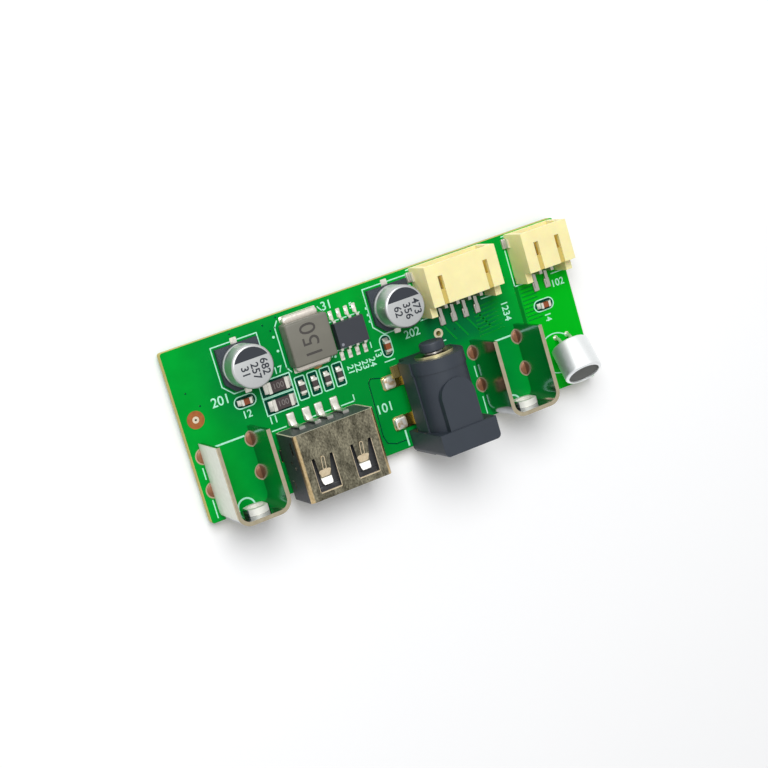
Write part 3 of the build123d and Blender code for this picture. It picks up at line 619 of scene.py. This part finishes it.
def nylon_finish():
    """Cream nylon that lets a little light through, painted amber in the headers' cavities as
    their shade.
    """
    finish = plastic_finish("cream_nylon", colours().cream, rough=0.42, grain=0.3)
    amber = finish.mix(finish.noise(2.5), (0.84, 0.64, 0.15), (0.96, 0.76, 0.2))
    for _, middle, pins in HEADERS:
        half = pins + 1.5
        # Amber in the cavities: painted shade.
        cavity = finish.patch((middle - half, 20.25, 0.45), (middle + half, 23.6, 4.9), 0.3)
        finish.colour(finish.mix(cavity, finish.tone, amber))
    finish.fill(finish.shader, {"Subsurface Weight": 0.25, "Subsurface Radius": (1, 0.6, 0.15),
                                "Subsurface Scale": 0.9 * MM})
    return finish


def can_finish(name, rough=0.42, tone=1):
    finish = Finish(name, rough=rough, metal=1)
    grain = finish.noise(0.12, stretch=(1, 1, 0.15))
    finish.colour(finish.tones(grain, shade(colours().can, tone), 0.9, 1.1))
    finish.bump(grain, 0.004, 0.5)
    return finish


# ---------------- pieces
class ADAPTER_OT_circuit_board(bpy.types.Operator):
    """Finish the board and lay its copper tracks, bare pads and copper ring"""
    bl_idname = "adapter.circuit_board"
    bl_label = "Circuit board"

    def execute(self, context):
        dress(mask_finish("solder_mask", colours().mask, painted_patches=True), "circuit_board")
        self.tracks()
        self.pads()
        self.rings()
        return {"FINISHED"}

    def tracks(self):
        """Copper under the mask shows as faint ridges, and the gaps in it as dark lines."""
        mask, line, copper = colours().mask, prints().track / MM, prints().copper / MM
        tracks = [stroke((56.5, 11.6 + 0.62 * i), (59, 11.6 + 0.62 * i), line)
                  for i in range(9)]
        tracks += [stroke((48.2, 11.9 + 0.62 * i), (52.3, 12.1 + 0.62 * i), line)
                   for i in range(8)]
        tracks += [stroke((42.8 + 2 * i, 15.4), (44.3 + 2 * i, 12.9), line)
                   for i in range(4)]
        ridge = mask_finish("mask_over_track", shade(mask, 0.8))
        build("copper_tracks", raised(tracks, copper), ridge)
        route = ((30.7, 11.32), (29.2, 11.72), (28.75, 11.2), (28.6, 3), (28.95, 1.8),
                 (30.3, 1.25), (32.4, 1.25))
        gaps = [stroke(start, end, 0.16) for start, end in zip(route, route[1:])]
        gaps.append(stroke((39.3, 10.6), (41.1, 13.4), 0.2))
        gaps += [placed(disc(0.14, 12), *place) for place in (
            (1.9, 18.9), (10.6, 24.8), (16.6, 23.3), (17.9, 24.9), (3.4, 16.55), (15.7, 24.4),
            (44.4, 14.4), (57.4, 19.6))]
        bare = mask_finish("mask_over_laminate", colours().bare_mask)
        build("copper_gaps", raised(gaps, copper), bare)
        build("part_grounds", raised(self.grounds(), 0.5 * copper), bare)
        band = raised(stroke((55.95, 11.6), (55.95, 18.4), 0.6), 0.5 * copper)
        build("wide_gap", band, mask_finish("mask_over_gap", shade(mask, 0.55)))

    def grounds(self):
        """Bare laminate under the mask, inside the outlines of the small parts."""
        return [placed(flat(5, 5), 15, 14.28),
                *[placed(flat(1.55, 3.45, 0.3), *place) for place in SMALL_RESISTORS],
                *[placed(flat(3.35, 1.75, 0.87), *place) for place in CHIP_CAPACITORS]]

    def pads(self):
        """Tinned pads under the surface parts."""
        pads = [placed(flat(1, 1.4, 0.15), across, along + behind)
                for across, along in CAPACITORS for behind in (3.4, -3.4)]
        across, along = INDUCTOR
        pads += [placed(flat(5.8, 0.9, 0.15), across, along + behind) for behind in (-3.8, 3.8)]
        pads += [placed(flat(0.62, 1.3, 0.1), foot, along)
                 for foot in CONVERTER_FEET for along in (16.35, 22.55)]
        build("surface_pads", raised(pads, 0.03), solder_finish("pad_tin"))

    def rings(self):
        """Bare copper ring at the left edge and the small plated ring by the jack."""
        copper = clouded("bare_copper", (0.3, 0.1, 0.04), (0.55, 0.2, 0.06), 0.6, 4,
                         rough=0.35, metal=1)
        plated = clouded("plated_ring", (0.6, 0.5, 0.3), (0.85, 0.8, 0.6), 0.3,
                         rough=0.3, metal=1)
        tin = solder_finish("ring_tin", (0.8, 0.7, 0.52))
        for name, ring, line, place, height, finish, slot in (
                ("copper_ring", disc(1.3), 0.8, COPPER_RING, 0.03, copper, "green_board"),
                ("plated_ring", disc(0.75), 0.36, (41.65, 14.6), 0.03, plated, "green_board"),
                ("ring_plug", disc(0.5, 32), 0.34, COPPER_RING, 0.04, tin, "solder")):
            build(name, raised(placed(hollowed(ring, line), *place), height), finish)


class ADAPTER_OT_printed_outlines(bpy.types.Operator):
    """Print the outlines of the components and plain digits beside them"""
    bl_idname = "adapter.printed_outlines"
    bl_label = "Printed outlines"

    def execute(self, context):
        shapes = [*self.sockets(), *self.cans(), *self.chips(), *self.marks(), *self.numbers()]
        build("printed_outlines", raised(shapes, prints().film / MM), ink_finish())
        return {"FINISHED"}

    def sockets(self):
        """Lines round the brackets, the sockets and the headers."""
        line, bold = prints().line / MM, prints().bold_line / MM
        edge = (0, BOARD_LOW.y + 0.15 * MM, 0)
        shapes = []
        for _, middle, _ in BRACKETS:
            ring = placed(hollowed(disc(1.45), bold), middle, 0.5)
            shapes.append(sliced(ring, edge, (0, -1, 0)))
            for wall in (middle - 4.5, middle + 4.5):
                shapes += [stroke((wall, 0.6), (wall, 3.2), line),
                           stroke((wall, 6.4), (wall, 8), line)]
        shapes += [stroke(start, end, width) for start, end, width in (
            ((2.2, 10.35), (8.2, 10.35), bold), ((47, 10.5), (52.9, 10.5), bold),
            ((12.5, 9.5), (14.7, 9.5), line), ((18.9, 9.5), (19.5, 9.5), line),
            ((21, 9.5), (21.9, 9.5), line), ((23.7, 9.5), (25.9, 9.5), line),
            ((25.9, 9.5), (25.9, 10.4), line), ((32.2, 0.4), (32.2, 2.6), bold),
            ((42.5, 0.4), (42.5, 2.6), bold), ((32.2, 13.3), (33.8, 13.3), line),
            ((41, 13.3), (42.5, 13.3), line))]
        for _, middle, pins in HEADERS:
            left, right = middle - pins - 2.35, middle + pins + 2.35
            shapes += [stroke(start, end, line) for start, end in (
                ((left, 17.3), (left, 22.9)), ((right, 17.3), (right, 22.9)),
                ((left, 25.1), (left + 0.8, 25.1)), ((left, 17.3), (left + 2.2, 17.3)),
                ((right, 17.3), (right - 2.2, 17.3)))]
        return [*shapes, placed(hollowed(disc(3.15, 56), line), 59.9, 5.4)]

    def cans(self):
        """Square outlines of the capacitors with two cut corners, and the inductor's sides."""
        line = prints().line / MM
        shapes = [placed(hollowed(flat(7.4, 7.4, 1.5, 1, front_only=True), line), *place)
                  for place in CAPACITORS]
        for wall, out in ((17.37, 0.55), (25.05, -0.55)):
            shapes += [stroke((wall, 17.4), (wall, 23.6), line),
                       stroke((wall, 23.55), (wall + out, 24.35), line),
                       stroke((wall, 17.45), (wall + out, 16.7), line)]
        return shapes

    def chips(self):
        """Boxes round the resistors and chip capacitors, and lines beside the converter."""
        line = prints().line / MM
        boxes = [(flat(5.1, 2.6), (15, along)) for along in (13, 15.55)]
        boxes += [(flat(1.7, 3.6, 0.3), place) for place in SMALL_RESISTORS]
        boxes += [(flat(3.5, 1.9, 0.93), place) for place in CHIP_CAPACITORS]
        return [*[placed(hollowed(box, line), *place) for box, place in boxes],
                *[stroke((25.4, along), (30.5, along), line) for along in (17.3, 21.6)]]

    def marks(self):
        """Round dots beside the polarised parts."""
        return [placed(disc(0.2, 16), *place) for place in (
            (16.8, 22.3), (16.85, 20.2), (31.7, 21.75), (31.7, 20.75), (31.7, 19.75),
            (25, 16.6))]

    def numbers(self):
        """Plain place numbers that name nothing."""
        size = prints().digits
        return [placed(digits(text, height * size, 0, 0.02), across, along, 0, turn)
                for text, across, along, turn, height in (
                    ("201", 6.5, 16.2, 0, 1.4), ("202", 37.6, 16, 0, 1.25),
                    ("12", 9.7, 13.1, 0, 1.1), ("11", 13.2, 11, 0, 1.1),
                    ("17", 16, 17.6, 0, 1), ("31", 25.9, 24.1, 0, 1.3),
                    ("101", 30.1, 6.85, 0, 1.4), ("102", 63, 15.7, 0, 1.1),
                    ("13", 31.5, 15, -90, 1), ("14", 59.9, 11.2, -90, 1),
                    ("21", 26.7, 14, -90, 1), ("22", 27.9, 14, -90, 1),
                    ("23", 29.1, 14, -90, 1), ("24", 30.3, 14, -90, 1),
                    ("5", 29.5, 22.9, 0, 0.9), ("1", 30.8, 16.4, 0, 0.9),
                    ("1234", 53.3, 14.3, -90, 1.1))]


class ADAPTER_OT_brackets(bpy.types.Operator):
    """Finish the two folded panel brackets and the tops of their soldered tabs"""
    bl_idname = "adapter.brackets"
    bl_label = "Brackets"

    def execute(self, context):
        tabs = []
        for side, middle, front in BRACKETS:
            tin = tin_finish("tinned_sheet_" + side, middle, front, painted_lit_wall=side == "left")
            dress(tin, side + "_bracket")
            tabs += bracket_tabs(middle, front)
        rims = [placed(hollowed(disc(1.25), 0.2), *tab) for tab in tabs]
        rim = solder_finish("rim_tin", (0.62, 0.48, 0.33))
        build("bracket_pads", raised(rims, 0.04), rim)
        tops = [placed(dome(2.16, 2.16, 0.22), *tab) for tab in tabs]
        copper = clouded("fluxed_copper", (0.14, 0.055, 0.03), (0.36, 0.15, 0.06), 0.7,
                         bump=(0.02, 0.5), rough=0.42, metal=0.25)
        build("bracket_joints", tops, copper)
        return {"FINISHED"}


class ADAPTER_OT_usb_socket(bpy.types.Operator):
    """Finish the USB socket and mound the solder over its contact feet"""
    bl_idname = "adapter.usb_socket"
    bl_label = "USB socket"

    def execute(self, context):
        dress(shell_finish(), "usb_shell")
        black = plastic_finish("socket_black", (0.045, 0.046, 0.05))
        dress(black, "usb_insulator")
        nose = placed(brick(11, 1.1, 1.7, 0.3), USB_MIDDLE, 0.2, 3.95)
        build("usb_tongue_nose", nose, black)
        mounds = []
        for foot in (-3.5, -1, 1, 3.5):
            mounds += [placed(brick(1.25, 1.9, 0.4, 0.18, 4), USB_MIDDLE + foot, 10.3, SUNK),
                       placed(wedge(1, 1, 0.9, 0.1), USB_MIDDLE + foot, 9.95, 0.05, -90)]
        build("usb_joints", mounds, solder_finish("usb_joint"),
              stands_for=("usb_solder",))
        self.fingers()
        return {"FINISHED"}

    def fingers(self):
        """Gold patches on the two spring fingers, and bright edges round them that are painted
        highlights.
        """
        patches = []
        rims = []
        for middle in USB_FINGERS:
            patch = flat(1.45, 1.1, 0.3)
            for vert in patch.verts:
                vert.co.x *= 1 if vert.co.y < 0 else 1.3
            patches.append(placed(raised(patch, 0.012), middle, 2.6, 6.505, *FINGER_SLOPE))
            # Bright rim round each finger's rib: a painted highlight.
            rib = hollowed(flat(0.62, 2.1, 0.3), 0.1)
            rims.append(placed(raised(rib, 0.03), middle, 4.15, 6.975, *FINGER_SLOPE))
            # Bright lines along the window's edges: painted highlights.
            for (left, front), (right, back), line in (((-1.5, 0.09), (1.6, 0.09), 0.15),
                                                       ((-1.7, 0.2), (-1.7, 5), 0.06),
                                                       ((1.7, 0.2), (1.7, 5), 0.08)):
                edge = raised(stroke((middle + left, front), (middle + right, back), line), 0.03)
                rims.append(moved(edge, shifted(0, 0, SHELL_TOP)))
        gold = clouded("finger_gold_and_highlight", (0.6, 0.46, 0.27), (0.95, 0.82, 0.6), 0.4,
                       rough=0.28, metal=0.8)
        build("finger_patches", patches, gold)
        build("finger_rims", rims, gold)


class ADAPTER_OT_power_jack(bpy.types.Operator):
    """Finish the power jack and mound the solder on its tabs"""
    bl_idname = "adapter.power_jack"
    bl_label = "Power jack"

    def execute(self, context):
        black = plastic_finish("jack_black", colours().black)
        dress(black, "jack_housing")
        back = (JACK_MIDDLE, 13.4, 6.25, -90, "X")
        boss = lathe([(0, 0.3), (1.75, 0.3), (1.85, 0.4), *arc(1.55, 1.4, 0.3, 0, 90, 4),
                      (0, 1.7)])
        build("jack_turned_boss", placed(boss, *back), black, 30,
              stands_for=("jack_back_boss",))
        rivet = lathe([(0, -0.02), (1.45, -0.02), (1.4, 0.2), (1.15, 0.34), (0, 0.34)])
        steel = solder_finish("rivet", (0.3, 0.28, 0.26), rough=0.35)
        build("jack_rivet", placed(rivet, *back), steel, 30)
        brass = clouded("brass", (0.63, 0.49, 0.168), (1, 0.805, 0.276), 0.5,
                        bump=(0.02, 0.4), rough=0.22, metal=1)
        dress(brass, "jack_left_contact", "jack_right_contact")
        # The disc's face is painted dark as a painted reflection, and its rim bright gold as a
        # painted highlight.
        rim = Finish("disc_brass", rough=0.3, metal=1)
        grain = rim.noise(0.4)
        dull = rim.mix(grain, (0.1, 0.075, 0.035), (0.2, 0.15, 0.07))
        bright = rim.mix(grain, (0.85, 0.72, 0.34), (1, 0.93, 0.6))
        rim.colour(rim.mix(rim.facing("Y", 0.75, 0.95), bright, dull))
        dress(rim, "jack_back_disc")
        dress(solder_finish("pin_plate"), "jack_centre_pin")
        self.joints()
        return {"FINISHED"}

    def joints(self):
        """Mounds on the tabs, darker brown at the right, in their skirts of flux."""
        tin = solder_finish("jack_joint", rough=0.36)
        burnt = tin.ramp(tin.noise(0.8), 0.52, 0.66)
        clean = tin.mix(burnt, (0.92, 0.9, 0.84), (0.6, 0.42, 0.22))
        # Darker brown on the right tabs.
        right = tin.patch((40, 0, -1), (48, 14, 3), 0.1)
        tin.colour(tin.mix(right, clean, (0.36, 0.2, 0.13)))
        mounds = [placed(pill(1.95, 1.9, 0.7, 0.5, 0.34), *tab) for tab in JACK_TABS]
        build("jack_joints", mounds, tin, stands_for=("jack_solder",))
        flux = clouded("flux", (0.4, 0.26, 0.11), (0.75, 0.64, 0.42), 0.6, rough=0.25, metal=0.3)
        skirts = [placed(pill(2.15, 2.1, 0.2, 0.4, 0.1), *tab) for tab in JACK_TABS]
        build("jack_flux", skirts, flux)


class ADAPTER_OT_wire_headers(bpy.types.Operator):
    """Finish the two wire headers and the solder on their feet"""
    bl_idname = "adapter.wire_headers"
    bl_label = "Wire headers"

    def execute(self, context):
        dress(nylon_finish(), "four_pin_header", "two_pin_header")
        # Darker ochre floors in the grooves: painted shade.
        floors = [placed(flat(0.74, 2.2), middle + side * (pins - 0.2), 20.3, 5.152)
                  for _, middle, pins in HEADERS for side in (-1, 1)]
        groove_shade = plastic_finish("painted_groove_shade", (0.58, 0.46, 0.12))
        build("header_grooves", raised(floors, 0.01), groove_shade)
        for name, middle, pins in HEADERS:
            mounds = [placed(brick(0.95, 1.5, 0.36, 0.16, 4), middle + 2 * i - (pins - 1), 16.25,
                             SUNK) for i in range(pins)]
            mounds += [placed(brick(0.8, 1.6, 0.42, 0.18, 4), middle + side * (pins + 2.3), 24,
                              SUNK) for side in (-1, 1)]
            # Darker tin: painted shade under the header.
            tin = solder_finish(name + "_joints_tin", (0.5, 0.48, 0.43))
            build(name + "_joints", mounds, tin, stands_for=(name + "_header_solder",))
        return {"FINISHED"}


class ADAPTER_OT_capacitors(bpy.types.Operator):
    """Turn the capacitors' cans, with their black segments and plain digits"""
    bl_idname = "adapter.capacitors"
    bl_label = "Capacitors"

    def execute(self, context):
        dress(plastic_finish("base_black", colours().black), "capacitor_one_base",
              "capacitor_two_base")
        aluminium = can_finish("drawn_can")
        ink = plastic_finish("can_ink", (0.02, 0.025, 0.035), rough=0.35)
        for name, place, rows in zip(("capacitor_one", "capacitor_two"), CAPACITORS,
                                     (("682", "257", "31"), ("473", "356", "62"))):
            build(name + "_turned_can", placed(self.can(), *place), aluminium, 30,
                  stands_for=(name + "_can",))
            build(name + "_segment", placed(self.segment(), *place), ink, 30)
            marks = [moved(digits(text, 1.15, 0.02, 0.03),
                           shifted(1.65 - 1.5 * row, along, CAN_TOP - 0.01) @ turned(-90))
                     for row, (text, along) in enumerate(zip(rows, (-0.45, -0.7, -0.4)))]
            build(name + "_digits", placed(joined(marks), *place), ink, 30)
        return {"FINISHED"}

    def can(self):
        """Can with a rounded top edge, a rolled groove and a curl on the base."""
        wall = 3.15
        return lathe([(0, 0.9), (2.95, 0.9), (wall, 1.02), (wall, 1.45), (wall - 0.14, 1.6),
                      (wall - 0.24, 1.76), (wall - 0.14, 1.92), (wall, 2.08),
                      *arc(wall - 0.35, CAN_TOP - 0.35, 0.35, 0, 90, 6), (0, CAN_TOP)])

    def segment(self):
        """Black segment printed on the top, behind a chord."""
        shape = sliced(disc(2.78, 64), (0, 1.1 * MM, 0), (0, -1, 0))
        return moved(raised(shape, 0.02), shifted(0, 0, CAN_TOP - 0.015))


class ADAPTER_OT_inductor(bpy.types.Operator):
    """Mould the inductor's block, with its plain digits and the solder of its terminals"""
    bl_idname = "adapter.inductor"
    bl_label = "Inductor"

    def execute(self, context):
        across, along = INDUCTOR
        ferrite = plastic_finish("ferrite", colours().ferrite, rough=0.42, grain=0.12,
                                 depth=0.02)
        block = placed(brick(6.75, 6.45, 2.75, 0.35, 4), across, along, 0.15)
        build("inductor_block", block, ferrite, stands_for=("inductor_body",))
        ink = plastic_finish("inductor_ink", (0.05, 0.045, 0.04), rough=0.6)
        number = placed(digits("150", 2.6, 0.02), across, along, 2.89, 90)
        build("inductor_digits", number, ink)
        ends = [placed(pill(5.7, 1.3, 1.1, 0.62, 0.42), across, along + behind)
                for behind in (-3.55, 3.55)]
        tin = solder_finish("inductor_tin", (0.8, 0.74, 0.66))
        build("inductor_ends", ends, tin, stands_for=("inductor_terminals",))
        spill = clouded("flux_spill", (0.3, 0.12, 0.03), (0.62, 0.33, 0.08), 0.4,
                        rough=0.2, gloss=0.6)
        build("inductor_flux", placed(dome(1.5, 0.9, 0.3), 22, 16.25), spill)
        return {"FINISHED"}


class ADAPTER_OT_chips(bpy.types.Operator):
    """Finish the converter chip and the small chip parts, with the solder at their ends"""
    bl_idname = "adapter.chips"
    bl_label = "Chips"

    def execute(self, context):
        dress(plastic_finish("chip_package", colours().chip, rough=0.55), "converter_chip")
        dress(plastic_finish("resistor_body", (0.05, 0.035, 0.035)),
              *[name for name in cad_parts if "resistor" in name and "ends" not in name])
        dress(plastic_finish("capacitor_body", (0.26, 0.06, 0.012)),
              "chip_capacitor_1", "chip_capacitor_2", "chip_capacitor_3")
        pin_mark = raised(placed(disc(0.22, 20), 26.1, 18.1, 1.545), 0.012)
        ink = plastic_finish("pin_mark", (0.25, 0.26, 0.3), rough=0.6)
        build("chip_pin_mark", pin_mark, ink)
        marks = [placed(digits("100", 0.85, 0.012), 15.2, along, 0.546) for along in (13, 15.6)]
        grey = plastic_finish("resistor_digits", (0.2, 0.18, 0.17), rough=0.6)
        build("large_resistor_digits", marks, grey)
        build("chip_joints", self.wedges(), solder_finish("chip_joint"))
        return {"FINISHED"}

    def wedges(self):
        """Solder that climbs each metal end and each foot of the converter chip."""
        parts = [((15.2, along, 0, 0), 1.6, 0.6, 1.55, 0.42) for along in (13, 15.6)]
        parts += [((*place, 0, 90), 0.8, 0.4, 0.7, 0.3) for place in SMALL_RESISTORS]
        parts += [(place, 0.8, 0.5, 0.85, 0.5) for place in CHIP_CAPACITORS]
        parts += [((foot, 19.45, 0, 90), 3, 0.5, 0.55, 0.18) for foot in CONVERTER_FEET]
        mounds = []
        for (*spot, turn), half, reach, width, height in parts:
            out = shifted(0.06 - half - reach / 2, 0, 0)
            mounds += [moved(wedge(width, reach, height, 0.05), on_board(*spot, way) @ out)
                       for way in (turn, turn + 180)]
        return mounds


class ADAPTER_OT_microphone(bpy.types.Operator):
    """Turn the microphone capsule and fill its mouth with felt"""
    bl_idname = "adapter.microphone"
    bl_label = "Microphone"

    def execute(self, context):
        place = on_board(60.75, 6.45, 2.65, -5) @ turned(56, "X")
        build("microphone_turned_can", moved(self.can(), place), can_finish("capsule", 0.5, 1.68),
              30, stands_for=("microphone_can",))
        pad = lathe([(0, 4.45), (2.6, 4.45), (2.6, 4.9), (2.3, 4.95), (1.6, 5.08), (0, 5.12)])
        felt = plastic_finish("felt", (0.15, 0.155, 0.145), rough=0.95, grain=0.12, depth=0.05)
        build("microphone_felt_pad", moved(pad, place), felt, 50,
              stands_for=("microphone_felt",))
        dress(mask_finish("terminal_mask", colours().mask), "microphone_back_disc")
        return {"FINISHED"}

    def can(self):
        """Capsule with a rolled lip behind and a rounded rim round its mouth."""
        wall = 2.95
        return lathe([(2.45, 0.12), (2.6, 0), (2.8, 0), *arc(wall - 0.2, 0.2, 0.2, -60, 0, 3),
                      *arc(wall - 0.35, 4.85, 0.35, 0, 90, 6), (2.45, 5.2), (2.45, 4.95),
                      (2.7, 4.95), (2.7, 0.3), (2.45, 0.3), (2.45, 0.12)])


class ADAPTER_OT_solder(bpy.types.Operator):
    """Finish the leads and turn the solder cones under the board"""
    bl_idname = "adapter.solder"
    bl_label = "Solder"

    def execute(self, context):
        bright = solder_finish()
        tinned = ("_solder", "_ends", "_pins", "_leads", "_anchors", "_terminals", "_contacts")
        dress(bright, *[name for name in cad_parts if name.endswith(tinned)])
        contact = solder_finish("contact_tin")
        # The contacts' upper parts are darker: painted shade.
        shaded = contact.patch((10, 5, 2.2), (30, 12, 8), 0.9)
        clean = shade(colours().solder, 1.05)
        contact.colour(contact.mix(shaded, clean, (0.55, 0.55, 0.5)))
        dress(contact, "usb_contacts")
        # Darker tin on the header pins: painted shade under the headers.
        dress(solder_finish("pin_tin", (0.52, 0.5, 0.45)), "four_pin_header_pins",
              "two_pin_header_pins")
        for side, middle, front in BRACKETS:
            self.cones(side + "_bracket_cones", bracket_tabs(middle, front), 0.75, 1.2, bright,
                       side + "_bracket_solder")
        self.cones("microphone_cones", [(60.2, 7.7), (62.2, 7.7)], 0.4, 0.8, bright,
                   "microphone_solder")
        fillets = [placed(dome(1.7, 2.9, 0.42), USB_MIDDLE + out, 5.7, UNDERSIDE - SUNK, 180, "X")
                   for out in (-6.35, 6.35)]
        build("socket_leg_joints", fillets, bright)
        return {"FINISHED"}

    def cones(self, name, places, hole, pad, finish, node):
        """Solder that fills plated holes and sinks towards the tips under the board."""
        depth = 0.7
        profile = [(0, -0.02), (hole, -0.02), (hole, UNDERSIDE - SUNK), (pad, UNDERSIDE)]
        profile += [(hole + (pad - hole) * (1 - t) ** 2, UNDERSIDE - depth * t)
                    for t in (0.2, 0.4, 0.6, 0.8, 1)]
        profile += [(0, UNDERSIDE - depth)]
        cones = [placed(lathe(profile, 32), *place) for place in places]
        build(name, cones, finish, 50, stands_for=(node,))


class ADAPTER_OT_stage(bpy.types.Operator):
    """Set the floor, the soft lamp and the camera"""
    bl_idname = "adapter.stage"
    bl_label = "Stage"

    def execute(self, context):
        stage = context.scene.adapter_stage
        self.floor(stage)
        self.surroundings(stage)
        self.lamp(stage)
        self.camera(stage)
        context.scene.view_settings.view_transform = "Standard"
        return {"FINISHED"}

    def floor(self, stage):
        """Plain pale floor, a little whiter where the camera or a polished part sees it."""
        shape = bmesh.new()
        bmesh.ops.create_grid(shape, x_segments=1, y_segments=1, size=2,
                              matrix=shifted(0, 0, -0.02))
        finish = Finish("floor", rough=0.9, gloss=0.1)
        finish.colour(finish.tones(finish.noise(40, 2), stage.floor, 0.99, 1))
        lift = finish.between(finish.seen(), 0, stage.lift)
        finish.fill(finish.shader, {"Emission Color": (1, 1, 1), "Emission Strength": lift})
        shown("floor", shape, finish)

    def surroundings(self, stage):
        """Even daylight for the lamp's work, and plain white where a ray sees the world."""
        world = bpy.data.worlds.new("daylight")
        bpy.context.scene.world = world
        world.use_nodes = True
        world.node_tree.nodes.clear()
        nodes = Nodes(world.node_tree)
        lit, white = [nodes.node("Background", {"Strength": strength}).outputs[0]
                      for strength in (stage.daylight, 1)]
        blend = nodes.node("MixShader", {0: nodes.seen(), 1: lit, 2: white})
        nodes.node("OutputWorld", {"Surface": blend.outputs[0]})

    def lamp(self, stage):
        lamp = bpy.data.lights.new("key", "AREA")
        lamp.shape = "DISK"
        lamp.size = KEY_SIZE
        lamp.energy = stage.key
        self.mounted("key", lamp, KEY_PLACE, -KEY_PLACE)

    def camera(self, stage):
        camera = bpy.data.cameras.new("camera")
        camera.lens = stage.lens
        camera.sensor_width = 36
        camera.clip_start = 0.01
        camera.clip_end = 10
        level = math.cos(stage.elevation)
        bearing = Vector((math.sin(stage.azimuth) * level, -math.cos(stage.azimuth) * level,
                          math.sin(stage.elevation)))
        place = Vector(stage.aim) + bearing * stage.distance
        bpy.context.scene.camera = self.mounted("camera", camera, place, -bearing, stage.roll)

    def mounted(self, name, data, place, way, roll=0):
        """Stands a lamp or a camera at its place, looking one way."""
        mount = bpy.data.objects.new(name, data)
        mount.matrix_world = (Matrix.Translation(place)
                              @ way.to_track_quat("-Z", "Y").to_matrix().to_4x4()
                              @ Matrix.Rotation(roll, 4, "Z"))
        bpy.context.scene.collection.objects.link(mount)
        return mount


# ---------------- panel and registration
OPERATORS = (
    ADAPTER_OT_circuit_board, ADAPTER_OT_printed_outlines, ADAPTER_OT_brackets,
    ADAPTER_OT_usb_socket, ADAPTER_OT_power_jack, ADAPTER_OT_wire_headers,
    ADAPTER_OT_capacitors, ADAPTER_OT_inductor, ADAPTER_OT_chips, ADAPTER_OT_microphone,
    ADAPTER_OT_solder, ADAPTER_OT_stage,
)


class ADAPTER_PT_pieces(bpy.types.Panel):
    """Lists the board's pieces in the order in which they are made"""
    bl_idname = "ADAPTER_PT_pieces"
    bl_label = "Adapter board"
    bl_space_type = "VIEW_3D"
    bl_region_type = "UI"
    bl_category = "Adapter"

    def draw(self, context):
        for operator in OPERATORS:
            self.layout.operator(operator.bl_idname)


CLASSES = (PrintSettings, ColourSettings, StageSettings, *OPERATORS, ADAPTER_PT_pieces)


def register():
    for item in CLASSES:
        bpy.utils.register_class(item)
    bpy.types.Scene.adapter_prints = bpy.props.PointerProperty(type=PrintSettings)
    bpy.types.Scene.adapter_colours = bpy.props.PointerProperty(type=ColourSettings)
    bpy.types.Scene.adapter_stage = bpy.props.PointerProperty(type=StageSettings)


def unregister():
    del bpy.types.Scene.adapter_stage
    del bpy.types.Scene.adapter_colours
    del bpy.types.Scene.adapter_prints
    for item in reversed(CLASSES):
        bpy.utils.unregister_class(item)


def main():
    register()
    for operator in OPERATORS:
        group, name = operator.bl_idname.split(".")
        getattr(getattr(bpy.ops, group), name)()


if __name__ == "__main__":
    main()
